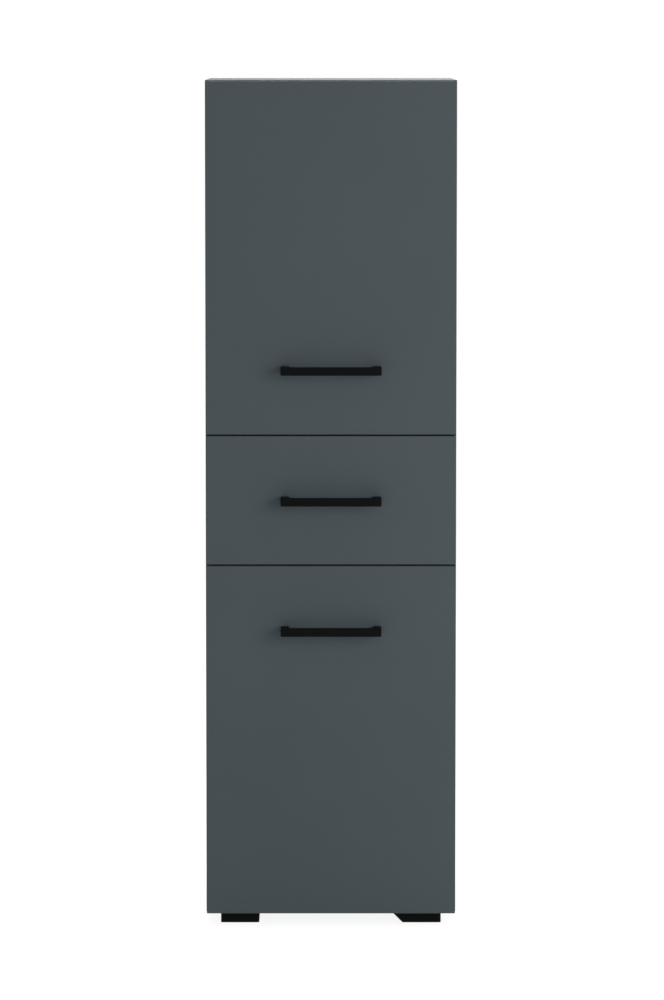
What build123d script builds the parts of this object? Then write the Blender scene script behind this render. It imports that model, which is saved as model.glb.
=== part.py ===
from build123d import *
import os

# Tall, narrow bathroom cabinet: two hinged doors with a drawer between them, on four moulded feet.
# Millimetres. +Z is up, the fronts face -Y, and +X is to the right of someone who stands in front.
# The origin is at the bottom centre of the box that the whole cabinet fills, handles included.

# Carcass boards
CABINET_WIDTH = 350.0
CARCASS_HEIGHT = 1168.0
CARCASS_DEPTH = 281.0
BOARD = 16.0
BACK_THICKNESS = 3.0
BACK_INSET = 10.0
BACK_GROOVE_DEPTH = 6.0
BACK_END_PLAY = 0.5
GROOVE_PLAY = 0.1

# Fronts
FRONT_THICKNESS = 16.0
FRONT_STANDOFF = 3.0
FRONT_SIDE_REVEAL = 1.0
FRONT_END_REVEAL = 1.0
SEAM = 2.0
DRAWER_FRONT_HEIGHT = 180.0
FRONT_EDGE_RADIUS = 1.0

# Feet: a square moulding with one face sloping out to its top plate
FOOT_HEIGHT = 18.0
FOOT_BASE = 54.0
FOOT_SIDE_INSET = 20.0
FOOT_FRONT_INSET = 10.0
FOOT_REAR_INSET = 20.0
FOOT_PLATE = 3.0
FOOT_WALL = 3.0
FOOT_CORNER_RADIUS = 3.0
FOOT_SCREW_RADIUS = 2.0
FOOT_SCREW_REACH = 11.0
FOOT_SCREW_HEAD_RADIUS = 4.0
FOOT_SCREW_HEAD = 2.5

# Handles: square bar pulls on two legs
HANDLE_HOLE_SPACING = 128.0
HANDLE_LEG_WIDTH = 12.0
HANDLE_SECTION_HEIGHT = 11.0
HANDLE_BAR_DEPTH = 12.0
HANDLE_PROJECTION = 28.0
HANDLE_INNER_RADIUS = 3.0
HANDLE_EDGE_RADIUS = 0.8
HANDLE_FROM_SEAM = 91.0
HANDLE_SCREW_RADIUS = 2.0
HANDLE_SCREW_THREAD_DEPTH = 9.0
HANDLE_SCREW_HEAD_RADIUS = 4.2
HANDLE_SCREW_HEAD = 2.6
HANDLE_HOLE_PLAY = 0.5

# Shelves and their pins
SHELF_THICKNESS = 16.0
SHELF_SIDE_PLAY = 1.5
SHELF_FRONT_SETBACK = 20.0
SHELF_REAR_PLAY = 1.0
SHELF_PIN_RADIUS = 2.5
SHELF_PIN_DEPTH = 10.0
SHELF_PIN_REACH = 8.0
SHELF_PIN_COLLAR_RADIUS = 3.5
SHELF_PIN_COLLAR = 1.0
SHELF_HOLE_PITCH = 64.0
SHELF_HOLES = 3
SHELF_HOLE_FROM_FRONT = 37.0
SHELF_HOLE_FROM_BACK = 45.0

# Knock-down fittings: a cam lock, its bolt and a dowel
CAM_RADIUS = 7.5
CAM_POCKET_DEPTH = 12.5
CAM_HEIGHT = 12.0
CAM_FROM_END = 24.0
CAM_FROM_EDGE = 80.0
CAM_PLAY = 0.1
CAM_BOLT_RADIUS = 3.0
CAM_BOLT_HEAD_RADIUS = 3.4
CAM_BOLT_HEAD = 3.0
CAM_BOLT_THREAD_RADIUS = 2.5
CAM_BOLT_THREAD = 10.0
CAM_BORE_RADIUS = 3.7
DOWEL_RADIUS = 4.0
DOWEL_IN_SIDE = 10.0
DOWEL_IN_BOARD = 20.0
DOWEL_END_PLAY = 1.0
DOWEL_FROM_CAM = 32.0
HOLE_PLAY = 0.1

# Cup hinges: the door turns on one pin inside the cup, and a cranked arm carries the pin's eye
HINGE_FROM_DOOR_END = 85.0
PIN_FROM_DOOR_EDGE = 7.0
PIN_BELOW_DOOR_FACE = 8.5
PIN_RADIUS = 1.5
PIN_HALF_LENGTH = 7.4
PIN_CLEARANCE = 0.05
EYE_RADIUS = 2.4
EYE_HALF_WIDTH = 4.0
CUP_RADIUS = 17.5
CUP_RIM_DISTANCE = 3.0
CUP_DEPTH = 12.5
CUP_WALL = 0.8
CUP_FLANGE = 1.0
CUP_FLANGE_RADIUS = 18.8
CUP_LUG = 2.6
CUP_LUG_GAP = 0.3
CUP_WING_HALF_LENGTH = 30.0
CUP_WING_START = 2.0
CUP_WING_END = 17.0
CUP_WING_RADIUS = 5.0
CUP_SCREW_OFFSET = 9.5
CUP_SCREW_HALF_SPACING = 22.5
CUP_SCREW_RADIUS = 1.75
CUP_SCREW_HEAD_RADIUS = 3.4
CUP_SCREW_HEAD = 1.6
CUP_SCREW_REACH = 10.0
ARM_THICKNESS = 1.6
ARM_NECK_HALF_WIDTH = 6.5
ARM_HALF_WIDTH = 8.5
ARM_LIFT = 10.6
ARM_FLANGE_DEPTH = 6.0
ARM_BEND_RADIUS = 1.6
PLATE_FROM_FRONT = 37.0
PLATE_HALF_LENGTH = 18.0
PLATE_RIB_HALF_WIDTH = 6.0
PLATE_WING_HALF_SPAN = 25.0
PLATE_WING_HALF_WIDTH = 7.0
PLATE_WING_THICKNESS = 2.4
PLATE_SCREW_HALF_SPACING = 16.0
PLATE_SCREW_RADIUS = 2.5
PLATE_SCREW_REACH = 11.0
PLATE_SCREW_HEAD_RADIUS = 4.0
PLATE_SCREW_HEAD = 2.0
ARM_SCREW_RADIUS = 2.5
ARM_SCREW_HEAD_RADIUS = 3.6
ARM_SCREW_HEAD = 1.8
ARM_SCREW_REACH = 7.0
ARM_SCREW_SPACING = 18.0

# Bumpers between the fronts and the carcass edges
BUMPER_RADIUS = 4.5
BUMPER_PLAY = 0.2
BUMPER_FROM_END = 18.0

# Roller runners
RUNNER_FROM_FRONT = 2.0
RUNNER_FROM_BACK = 16.0
RUNNER_METAL = 1.2
RUNNER_ABOVE_DIVIDER = 12.0
RUNNER_INSIDE_HEIGHT = 19.0
RUNNER_FLANGE = 10.0
RUNNER_SPACE = 12.5
ROLLER_RADIUS = 8.2
ROLLER_WIDTH = 7.4
ROLLER_SIDE_PLAY = 1.0
ROLLER_PLAY = 0.05
ROLLER_FROM_END = 10.0
FRONT_ROLLER_LIFT = 9.0
LIP_REACH = 10.0
AXLE_RADIUS = 2.0
AXLE_CLEARANCE = 0.05
AXLE_HEAD_RADIUS = 3.5
AXLE_HEAD = 0.8
AXLE_HEAD_PLAY = 0.3
RUNNER_SCREW_RADIUS = 1.8
RUNNER_SCREW_HEAD_RADIUS = 3.4
RUNNER_SCREW_REACH = 12.0
RUNNER_SCREWS = 3
RUNNER_SCREW_FROM_END = 32.0
DRAWER_RUNNER_SCREW_REACH = 9.0
DRAWER_RUNNER_SCREW_HEAD = 1.5
DRAWER_RUNNER_SCREW_FROM_END = 45.0

# Drawer box
DRAWER_SIDE = 12.0
DRAWER_SIDE_HEIGHT = 120.0
DRAWER_FROM_BACK = 21.0
DRAWER_BOTTOM = 3.0
DRAWER_BOTTOM_RISE = 10.0
DRAWER_GROOVE_DEPTH = 6.0
DRAWER_CAM_DEPTH = 9.5
DRAWER_CAM_HEIGHT = 9.0
DRAWER_DOWEL_RADIUS = 3.0
DRAWER_DOWEL_FROM_CAM = 34.0
DRAWER_SCREW_RADIUS = 2.5
DRAWER_SCREW_HEAD_RADIUS = 4.0
DRAWER_SCREW_HEAD = 3.0
DRAWER_SCREW_LENGTH = 40.0
DRAWER_SCREW_FROM_MIDDLE = 30.0

# Levels and planes that follow from the sizes above
TOTAL_DEPTH = HANDLE_PROJECTION + FRONT_THICKNESS + FRONT_STANDOFF + CARCASS_DEPTH
REAR_Y = TOTAL_DEPTH / 2
CARCASS_Y = REAR_Y - CARCASS_DEPTH
FRONT_BACK_Y = CARCASS_Y - FRONT_STANDOFF
FRONT_Y = FRONT_BACK_Y - FRONT_THICKNESS
HANDLE_Y = FRONT_Y - HANDLE_PROJECTION
OUTER_X = CABINET_WIDTH / 2
INNER_X = OUTER_X - BOARD
FRONT_X = OUTER_X - FRONT_SIDE_REVEAL
BACK_PANEL_Y = REAR_Y - BACK_INSET - BACK_THICKNESS

BOTTOM_Z = FOOT_HEIGHT
TOP_Z = BOTTOM_Z + CARCASS_HEIGHT
SIDE_TOP_Z = TOP_Z - BOARD
FLOOR_Z = BOTTOM_Z + BOARD
DOOR_HEIGHT = (CARCASS_HEIGHT - 2 * FRONT_END_REVEAL - 2 * SEAM - DRAWER_FRONT_HEIGHT) / 2
LOWER_DOOR_Z = BOTTOM_Z + FRONT_END_REVEAL
LOWER_SEAM_Z = LOWER_DOOR_Z + DOOR_HEIGHT + SEAM / 2
DRAWER_FRONT_Z = LOWER_SEAM_Z + SEAM / 2
UPPER_SEAM_Z = DRAWER_FRONT_Z + DRAWER_FRONT_HEIGHT + SEAM / 2
UPPER_DOOR_Z = UPPER_SEAM_Z + SEAM / 2
LOWER_DIVIDER_Z = LOWER_SEAM_Z - BOARD / 2
UPPER_DIVIDER_Z = UPPER_SEAM_Z - BOARD / 2

BOARD_LEVELS = (BOTTOM_Z, LOWER_DIVIDER_Z, UPPER_DIVIDER_Z)
CAM_YS = (CARCASS_Y + CAM_FROM_EDGE, BACK_PANEL_Y - CAM_FROM_EDGE)
DOWEL_YS = (CAM_YS[0] + DOWEL_FROM_CAM, CAM_YS[1] - DOWEL_FROM_CAM)
SHELF_PIN_YS = (CARCASS_Y + SHELF_HOLE_FROM_FRONT, BACK_PANEL_Y - SHELF_HOLE_FROM_BACK)
LOWER_SHELF_Z = (FLOOR_Z + LOWER_DIVIDER_Z) / 2
UPPER_SHELF_Z = (UPPER_DIVIDER_Z + BOARD + SIDE_TOP_Z) / 2

PIN_X = -FRONT_X + PIN_FROM_DOOR_EDGE
PIN_Y = FRONT_BACK_Y - PIN_BELOW_DOOR_FACE
CUP_X = -FRONT_X + CUP_RIM_DISTANCE + CUP_RADIUS
HINGE_OFFSETS = (HINGE_FROM_DOOR_END, DOOR_HEIGHT - HINGE_FROM_DOOR_END)
LOWER_HINGE_ZS = [LOWER_DOOR_Z + offset for offset in HINGE_OFFSETS]
UPPER_HINGE_ZS = [UPPER_DOOR_Z + offset for offset in HINGE_OFFSETS]
PLATE_Y = CARCASS_Y + PLATE_FROM_FRONT

UPPER_HANDLE_Z = UPPER_SEAM_Z + HANDLE_FROM_SEAM
DRAWER_HANDLE_Z = DRAWER_FRONT_Z + DRAWER_FRONT_HEIGHT / 2
LOWER_HANDLE_Z = LOWER_SEAM_Z - HANDLE_FROM_SEAM

CHANNEL_Z = LOWER_DIVIDER_Z + BOARD + RUNNER_ABOVE_DIVIDER
RUNNER_Y0 = CARCASS_Y + RUNNER_FROM_FRONT
RUNNER_Y1 = BACK_PANEL_Y - RUNNER_FROM_BACK
FRONT_ROLLER_Y = RUNNER_Y0 + ROLLER_FROM_END
FRONT_ROLLER_Z = CHANNEL_Z + FRONT_ROLLER_LIFT
REAR_ROLLER_Z = CHANNEL_Z + ROLLER_RADIUS + ROLLER_PLAY
LIP_Z = FRONT_ROLLER_Z + ROLLER_RADIUS + ROLLER_PLAY
DRAWER_X = INNER_X - RUNNER_SPACE
DRAWER_IN_X = DRAWER_X - DRAWER_SIDE
DRAWER_Z = CHANNEL_Z + RUNNER_METAL
DRAWER_TOP_Z = DRAWER_Z + DRAWER_SIDE_HEIGHT
DRAWER_REAR_Y = BACK_PANEL_Y - DRAWER_FROM_BACK
DRAWER_FLOOR_Z = DRAWER_Z + DRAWER_BOTTOM_RISE
DRAWER_MID_Z = DRAWER_Z + DRAWER_SIDE_HEIGHT / 2
REAR_ROLLER_Y = DRAWER_REAR_Y - ROLLER_FROM_END
BUMPER_X = OUTER_X - BOARD / 2


def block(x0, x1, y0, y1, z0, z1):
    """A box between two corners."""
    size = (x1 - x0, y1 - y0, z1 - z0)
    return Pos((x0 + x1) / 2, (y0 + y1) / 2, (z0 + z1) / 2) * Box(*size)


def rod_x(x0, x1, y, z, radius):
    """A round rod along X between x0 and x1."""
    return Pos((x0 + x1) / 2, y, z) * Rot(0, 90, 0) * Cylinder(radius, abs(x1 - x0))


def rod_y(x, y0, y1, z, radius):
    """A round rod along Y between y0 and y1."""
    return Pos(x, (y0 + y1) / 2, z) * Rot(90, 0, 0) * Cylinder(radius, abs(y1 - y0))


def rod_z(x, y, z0, z1, radius):
    """A round rod along Z between z0 and z1."""
    return Pos(x, y, (z0 + z1) / 2) * Cylinder(radius, abs(z1 - z0))


def flip(shape):
    """The same piece on the other side of the cabinet."""
    return mirror(shape, about=Plane.YZ)


def both(shapes):
    """A list of pieces on the left together with their copies on the right."""
    return list(shapes) + [flip(shape) for shape in shapes]


def save(name, shape):
    """Write one piece, or several equal ones, to its STEP file."""
    if isinstance(shape, (list, tuple)):
        shape = Compound([piece.solid() for piece in shape])
    export_step(shape, f"parts/{name}.step")


# Carcass


def shelf_hole_levels(middle):
    """Heights of one column of shelf pin holes around a middle height."""
    first = middle - SHELF_HOLE_PITCH * (SHELF_HOLES - 1) / 2
    return [first + SHELF_HOLE_PITCH * index for index in range(SHELF_HOLES)]


def runner_screw_ys():
    """Places of the runner screws along the channel, evenly spaced between its end screws."""
    first = FRONT_ROLLER_Y + RUNNER_SCREW_FROM_END
    last = RUNNER_Y1 - RUNNER_SCREW_FROM_END
    step = (last - first) / (RUNNER_SCREWS - 1)
    return [first + step * index for index in range(RUNNER_SCREWS)]


def side_drillings():
    """Every hole in the inner face of the left side that the right side has as well."""
    cuts = []
    for level in BOARD_LEVELS:
        middle = level + BOARD / 2
        for y in CAM_YS:
            thread = CAM_BOLT_THREAD_RADIUS + HOLE_PLAY
            depth = CAM_BOLT_THREAD + HOLE_PLAY
            cuts.append(rod_x(-INNER_X - depth, -INNER_X, y, middle, thread))
        for y in DOWEL_YS:
            depth = DOWEL_IN_SIDE + DOWEL_END_PLAY
            cuts.append(rod_x(-INNER_X - depth, -INNER_X, y, middle, DOWEL_RADIUS + HOLE_PLAY))
    for middle in (LOWER_SHELF_Z, UPPER_SHELF_Z):
        for z in shelf_hole_levels(middle):
            for y in SHELF_PIN_YS:
                depth = SHELF_PIN_DEPTH + HOLE_PLAY
                cuts.append(rod_x(-INNER_X - depth, -INNER_X, y, z, SHELF_PIN_RADIUS + HOLE_PLAY))
    middle_x = -OUTER_X + BOARD / 2
    for y in CAM_YS:
        pocket_z = SIDE_TOP_Z - CAM_FROM_END
        cuts.append(rod_x(-INNER_X - CAM_POCKET_DEPTH, -INNER_X, y, pocket_z, CAM_RADIUS + CAM_PLAY))
        cuts.append(rod_z(middle_x, y, pocket_z, SIDE_TOP_Z, CAM_BORE_RADIUS + HOLE_PLAY))
    for y in DOWEL_YS:
        depth = DOWEL_IN_BOARD + DOWEL_END_PLAY
        cuts.append(rod_z(middle_x, y, SIDE_TOP_Z - depth, SIDE_TOP_Z, DOWEL_RADIUS + HOLE_PLAY))
    for y in runner_screw_ys():
        radius = RUNNER_SCREW_RADIUS + HOLE_PLAY
        depth = RUNNER_SCREW_REACH + HOLE_PLAY
        cuts.append(rod_x(-INNER_X - depth, -INNER_X, y, FRONT_ROLLER_Z, radius))
    return cuts


def back_groove(x0, x1, z0, z1):
    """The groove that takes the back panel's edge, between two corners."""
    y0 = BACK_PANEL_Y - GROOVE_PLAY
    y1 = BACK_PANEL_Y + BACK_THICKNESS + GROOVE_PLAY
    return block(x0, x1, y0, y1, z0, z1)


def left_side_blank():
    """The left side board with its groove and the drillings that both sides share."""
    board = block(-OUTER_X, -INNER_X, CARCASS_Y, REAR_Y, BOTTOM_Z, SIDE_TOP_Z)
    groove = back_groove(-INNER_X - BACK_GROOVE_DEPTH, -INNER_X, BOTTOM_Z, SIDE_TOP_Z)
    return board - [groove] - side_drillings()


def left_side():
    """The left side, which also has the hinge plates' screw holes."""
    cuts = []
    for z in LOWER_HINGE_ZS + UPPER_HINGE_ZS:
        for side in (-1, 1):
            level = z + side * PLATE_SCREW_HALF_SPACING
            depth = PLATE_SCREW_REACH + HOLE_PLAY
            cuts.append(rod_x(-INNER_X - depth, -INNER_X, PLATE_Y, level, PLATE_SCREW_RADIUS + HOLE_PLAY))
    return left_side_blank() - cuts


def level_board(level):
    """A board between the sides, with the cam pockets in its underside."""
    board = block(-INNER_X, INNER_X, CARCASS_Y, BACK_PANEL_Y, level, level + BOARD)
    middle = level + BOARD / 2
    cuts = []
    for y in CAM_YS:
        cam_x = -INNER_X + CAM_FROM_END
        cuts.append(rod_z(cam_x, y, level, level + CAM_POCKET_DEPTH, CAM_RADIUS + CAM_PLAY))
        cuts.append(rod_x(-INNER_X, cam_x, y, middle, CAM_BORE_RADIUS + HOLE_PLAY))
    for y in DOWEL_YS:
        depth = DOWEL_IN_BOARD + DOWEL_END_PLAY
        cuts.append(rod_x(-INNER_X, -INNER_X + depth, y, middle, DOWEL_RADIUS + HOLE_PLAY))
    return board - both(cuts)


def bottom_board():
    """The lowest board, with the foot screws' holes."""
    cuts = []
    for x, y in foot_screw_places():
        top = FOOT_HEIGHT + FOOT_SCREW_REACH + HOLE_PLAY
        cuts.append(rod_z(x, y, BOTTOM_Z, top, FOOT_SCREW_RADIUS + HOLE_PLAY))
    return level_board(BOTTOM_Z) - cuts


def top_board():
    """The top, which lies on both sides and takes the back panel's upper edge."""
    board = block(-OUTER_X, OUTER_X, CARCASS_Y, REAR_Y, SIDE_TOP_Z, TOP_Z)
    reach = INNER_X + BACK_GROOVE_DEPTH
    groove = back_groove(-reach, reach, SIDE_TOP_Z, SIDE_TOP_Z + BACK_GROOVE_DEPTH)
    middle_x = -OUTER_X + BOARD / 2
    cuts = []
    for y in CAM_YS:
        top = SIDE_TOP_Z + CAM_BOLT_THREAD + HOLE_PLAY
        cuts.append(rod_z(middle_x, y, SIDE_TOP_Z, top, CAM_BOLT_THREAD_RADIUS + HOLE_PLAY))
    for y in DOWEL_YS:
        top = SIDE_TOP_Z + DOWEL_IN_SIDE + DOWEL_END_PLAY
        cuts.append(rod_z(middle_x, y, SIDE_TOP_Z, top, DOWEL_RADIUS + HOLE_PLAY))
    return board - [groove] - both(cuts)


def back_panel():
    """The thin back, in the grooves of the sides and the top."""
    reach = INNER_X + BACK_GROOVE_DEPTH - BACK_END_PLAY
    top = SIDE_TOP_Z + BACK_GROOVE_DEPTH - BACK_END_PLAY
    return block(-reach, reach, BACK_PANEL_Y, BACK_PANEL_Y + BACK_THICKNESS, BOTTOM_Z, top)


def shelf(middle):
    """A loose shelf that lies on four pins at a middle height."""
    reach = INNER_X - SHELF_SIDE_PLAY
    y0 = CARCASS_Y + SHELF_FRONT_SETBACK
    y1 = BACK_PANEL_Y - SHELF_REAR_PLAY
    base = middle + SHELF_PIN_RADIUS
    return block(-reach, reach, y0, y1, base, base + SHELF_THICKNESS)


def shelf_pins():
    """Stepped pins in the middle hole of each column, under the shelves' ends."""
    pins = []
    for z in (LOWER_SHELF_Z, UPPER_SHELF_Z):
        for y in SHELF_PIN_YS:
            shaft = rod_x(-INNER_X - SHELF_PIN_DEPTH, -INNER_X + SHELF_PIN_REACH, y, z, SHELF_PIN_RADIUS)
            collar = rod_x(-INNER_X, -INNER_X + SHELF_PIN_COLLAR, y, z, SHELF_PIN_COLLAR_RADIUS)
            pins.append(shaft + collar)
    return both(pins)


def cam_lock(height, bore_from_face):
    """A cam lock along Z with its open face at zero, and a bore from its -X side past its middle."""
    body = rod_z(0, 0, 0, height, CAM_RADIUS)
    bore = rod_x(-CAM_RADIUS, CAM_BOLT_HEAD, 0, bore_from_face, CAM_BORE_RADIUS)
    slot = block(-CAM_RADIUS * 0.6, CAM_RADIUS * 0.6, -0.9, 0.9, 0, 2.0)
    return body - [bore, slot]


def cam_bolt(length, thread_length):
    """A cam bolt along X: its thread ends at minus thread_length, and its head ends at length."""
    thread = rod_x(-thread_length, 0, 0, 0, CAM_BOLT_THREAD_RADIUS)
    shank = rod_x(0, length, 0, 0, CAM_BOLT_RADIUS - 0.8)
    collar = rod_x(0, CAM_BOLT_HEAD, 0, 0, CAM_BOLT_RADIUS)
    head = rod_x(length - CAM_BOLT_HEAD, length, 0, 0, CAM_BOLT_HEAD_RADIUS)
    return thread + shank + collar + head


def cam_locks():
    """The locks under the level boards and in the tops of the sides."""
    lock = cam_lock(CAM_HEIGHT, BOARD / 2)
    locks = []
    for level in BOARD_LEVELS:
        for y in CAM_YS:
            locks.append(Pos(-INNER_X + CAM_FROM_END, y, level) * lock)
    for y in CAM_YS:
        turned = Rot(0, -90, 0) * lock
        locks.append(Pos(-INNER_X, y, SIDE_TOP_Z - CAM_FROM_END) * mirror(turned, about=Plane.XY))
    return both(locks)


def cam_bolts():
    """The bolts from the sides into the boards' locks, and from the top down into the sides' locks."""
    bolt = cam_bolt(CAM_FROM_END + CAM_BOLT_HEAD / 2, CAM_BOLT_THREAD)
    bolts = []
    for level in BOARD_LEVELS:
        for y in CAM_YS:
            bolts.append(Pos(-INNER_X, y, level + BOARD / 2) * bolt)
    for y in CAM_YS:
        bolts.append(Pos(-OUTER_X + BOARD / 2, y, SIDE_TOP_Z) * Rot(0, 90, 0) * bolt)
    return both(bolts)


def carcass_dowels():
    """The wooden dowels beside the cam bolts."""
    dowels = []
    for level in BOARD_LEVELS:
        for y in DOWEL_YS:
            z = level + BOARD / 2
            dowels.append(rod_x(-INNER_X - DOWEL_IN_SIDE, -INNER_X + DOWEL_IN_BOARD, y, z, DOWEL_RADIUS))
    for y in DOWEL_YS:
        x = -OUTER_X + BOARD / 2
        dowels.append(rod_z(x, y, SIDE_TOP_Z - DOWEL_IN_BOARD, SIDE_TOP_Z + DOWEL_IN_SIDE, DOWEL_RADIUS))
    return both(dowels)


# Feet


def foot_places():
    """Each foot's name, centre and the direction in degrees that its sloping face looks."""
    x = OUTER_X - FOOT_SIDE_INSET - FOOT_BASE / 2
    front = CARCASS_Y + FOOT_FRONT_INSET + FOOT_BASE / 2
    rear = REAR_Y - FOOT_REAR_INSET - FOOT_BASE / 2
    return [
        ("front_right_foot", x, front, 180),
        ("rear_right_foot", x, rear, 270),
        ("rear_left_foot", -x, rear, 0),
        ("front_left_foot", -x, front, 90),
    ]


def foot_pocket_middle():
    """How far each pocket's middle lies from the foot's centre."""
    return FOOT_BASE / 4 - FOOT_WALL / 4


def foot_screw_places():
    """Both screws of each foot, seen from above."""
    places = []
    for _, x, y, angle in foot_places():
        for side in (-1, 1):
            spot = Rot(0, 0, angle) * Pos(side * foot_pocket_middle(), 0, 0)
            places.append((x + spot.position.X, y + spot.position.Y))
    return places


def foot():
    """One foot with its centre at the origin and its sloping face looking along +X."""
    half = FOOT_BASE / 2
    slope = FOOT_HEIGHT - FOOT_PLATE
    outline = Polyline(
        (-half, 0),
        (half, 0),
        (half + slope, slope),
        (half + slope, FOOT_HEIGHT),
        (-half, FOOT_HEIGHT),
        close=True,
    )
    body = extrude(Plane.XZ * make_face(outline), amount=half, both=True)
    uprights = body.edges().filter_by(Axis.Z).group_by(Axis.X)[0]
    body = fillet(uprights, FOOT_CORNER_RADIUS)
    reach = half - FOOT_WALL
    pockets = []
    for side in (-1, 1):
        inner = side * FOOT_WALL / 2
        outer = side * reach
        pocket = block(min(inner, outer), max(inner, outer), -reach, reach, 0, slope)
        corners = pocket.edges().filter_by(Axis.Z)
        pockets.append(fillet(corners, FOOT_CORNER_RADIUS))
        hole = FOOT_SCREW_RADIUS + HOLE_PLAY
        pockets.append(rod_z(side * foot_pocket_middle(), 0, slope, FOOT_HEIGHT, hole))
    return body - pockets


def foot_screws():
    """Two screws up through each foot's plate into the bottom board."""
    seat = FOOT_HEIGHT - FOOT_PLATE
    screws = []
    for x, y in foot_screw_places():
        shaft = rod_z(x, y, seat - FOOT_SCREW_HEAD / 2, FOOT_HEIGHT + FOOT_SCREW_REACH, FOOT_SCREW_RADIUS)
        head = rod_z(x, y, seat - FOOT_SCREW_HEAD, seat, FOOT_SCREW_HEAD_RADIUS)
        screws.append(shaft + head)
    return screws


# Doors and their handles


def front_panel(z0, height, handle_z):
    """A front with softened outer edges and the two holes for its handle."""
    panel = block(-FRONT_X, FRONT_X, FRONT_Y, FRONT_BACK_Y, z0, z0 + height)
    rim = panel.faces().sort_by(Axis.Y)[0].edges()
    panel = fillet(rim, FRONT_EDGE_RADIUS)
    cuts = []
    for x in handle_xs():
        cuts.append(rod_y(x, FRONT_Y, FRONT_BACK_Y, handle_z, HANDLE_SCREW_RADIUS + HANDLE_HOLE_PLAY))
    return panel - cuts


def door_panel(z0, hinge_zs, handle_z):
    """A door with its cup bores and the cup screws' pilot holes."""
    cuts = []
    for z in hinge_zs:
        bore = CUP_RADIUS + HOLE_PLAY
        cuts.append(rod_y(CUP_X, FRONT_BACK_Y - CUP_DEPTH - HOLE_PLAY, FRONT_BACK_Y, z, bore))
        for side in (-1, 1):
            y = FRONT_BACK_Y - CUP_SCREW_REACH - HOLE_PLAY
            level = z + side * CUP_SCREW_HALF_SPACING
            pilot = CUP_SCREW_RADIUS + HOLE_PLAY
            cuts.append(rod_y(CUP_X + CUP_SCREW_OFFSET, y, FRONT_BACK_Y, level, pilot))
    return front_panel(z0, DOOR_HEIGHT, handle_z) - cuts


def handle_xs():
    """The two screw places of a handle."""
    return (-HANDLE_HOLE_SPACING / 2, HANDLE_HOLE_SPACING / 2)


def handle(z):
    """A square bar pull: a straight bar on two legs, with a blind thread in each leg."""
    half = (HANDLE_HOLE_SPACING + HANDLE_LEG_WIDTH) / 2
    gap = half - HANDLE_LEG_WIDTH
    bar_y = HANDLE_Y + HANDLE_BAR_DEPTH
    outline = Polyline(
        (-half, HANDLE_Y),
        (half, HANDLE_Y),
        (half, FRONT_Y),
        (gap, FRONT_Y),
        (gap, bar_y),
        (-gap, bar_y),
        (-gap, FRONT_Y),
        (-half, FRONT_Y),
        close=True,
    )
    body = extrude(make_face(outline), amount=HANDLE_SECTION_HEIGHT / 2, both=True)
    uprights = body.edges().filter_by(Axis.Z)
    inner = [e for e in uprights if abs(e.center().Y - bar_y) < 0.01]
    body = fillet(inner, HANDLE_INNER_RADIUS)
    front = body.faces().sort_by(Axis.Y)[0].edges()
    body = fillet(front, HANDLE_EDGE_RADIUS)
    holes = []
    for x in handle_xs():
        depth = HANDLE_SCREW_THREAD_DEPTH + HOLE_PLAY
        holes.append(rod_y(x, FRONT_Y - depth, FRONT_Y, 0, HANDLE_SCREW_RADIUS + HOLE_PLAY))
    return Pos(0, 0, z) * (body - holes)


def handle_screws(z):
    """Two screws from inside the front into the handle's legs."""
    screws = []
    for x in handle_xs():
        tip = FRONT_Y - HANDLE_SCREW_THREAD_DEPTH
        shaft = rod_y(x, tip, FRONT_BACK_Y + HANDLE_SCREW_HEAD / 2, z, HANDLE_SCREW_RADIUS)
        head = rod_y(x, FRONT_BACK_Y, FRONT_BACK_Y + HANDLE_SCREW_HEAD, z, HANDLE_SCREW_HEAD_RADIUS)
        screws.append(shaft + head)
    return screws


def bumper(x, z):
    """A small soft bumper that meets a carcass edge."""
    tip = CARCASS_Y - BUMPER_PLAY
    return rod_y(x, FRONT_BACK_Y, tip, z, BUMPER_RADIUS)


def door_bumpers(z0):
    """Two bumpers on the door's free side."""
    return [bumper(BUMPER_X, z0 + BUMPER_FROM_END), bumper(BUMPER_X, z0 + DOOR_HEIGHT - BUMPER_FROM_END)]


# Cup hinges


def cup(z):
    """The pressed cup with its flange, its wing and the two lugs that hold the pin."""
    floor = FRONT_BACK_Y - CUP_DEPTH
    rim = FRONT_BACK_Y + CUP_FLANGE
    inner = CUP_RADIUS - CUP_WALL
    shell = rod_y(CUP_X, floor, FRONT_BACK_Y, z, CUP_RADIUS)
    flange = rod_y(CUP_X, FRONT_BACK_Y, rim, z, CUP_FLANGE_RADIUS)
    x0 = CUP_X + CUP_WING_START
    x1 = CUP_X + CUP_WING_END
    wing = block(x0, x1, FRONT_BACK_Y, rim, z - CUP_WING_HALF_LENGTH, z + CUP_WING_HALF_LENGTH)
    wing = fillet(wing.edges().filter_by(Axis.Y), CUP_WING_RADIUS)
    body = shell + flange + wing - rod_y(CUP_X, floor + CUP_WALL, rim, z, inner)
    near = EYE_HALF_WIDTH + CUP_LUG_GAP
    far = near + CUP_LUG
    reach = EYE_RADIUS + 0.6
    limit = rod_y(CUP_X, floor, FRONT_BACK_Y, z, inner + CUP_WALL / 2)
    for side in (-1, 1):
        z0, z1 = sorted((z + side * near, z + side * far))
        lug = block(CUP_X - CUP_RADIUS, PIN_X + reach, floor + CUP_WALL / 2, PIN_Y + reach, z0, z1)
        body = body + (lug & limit)
    cuts = [rod_z(PIN_X, PIN_Y, z - PIN_HALF_LENGTH - 0.05, z + PIN_HALF_LENGTH + 0.05, PIN_RADIUS + 0.01)]
    for side in (-1, 1):
        level = z + side * CUP_SCREW_HALF_SPACING
        hole = CUP_SCREW_RADIUS + HOLE_PLAY
        cuts.append(rod_y(CUP_X + CUP_SCREW_OFFSET, FRONT_BACK_Y, rim, level, hole))
    return body - cuts


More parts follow.
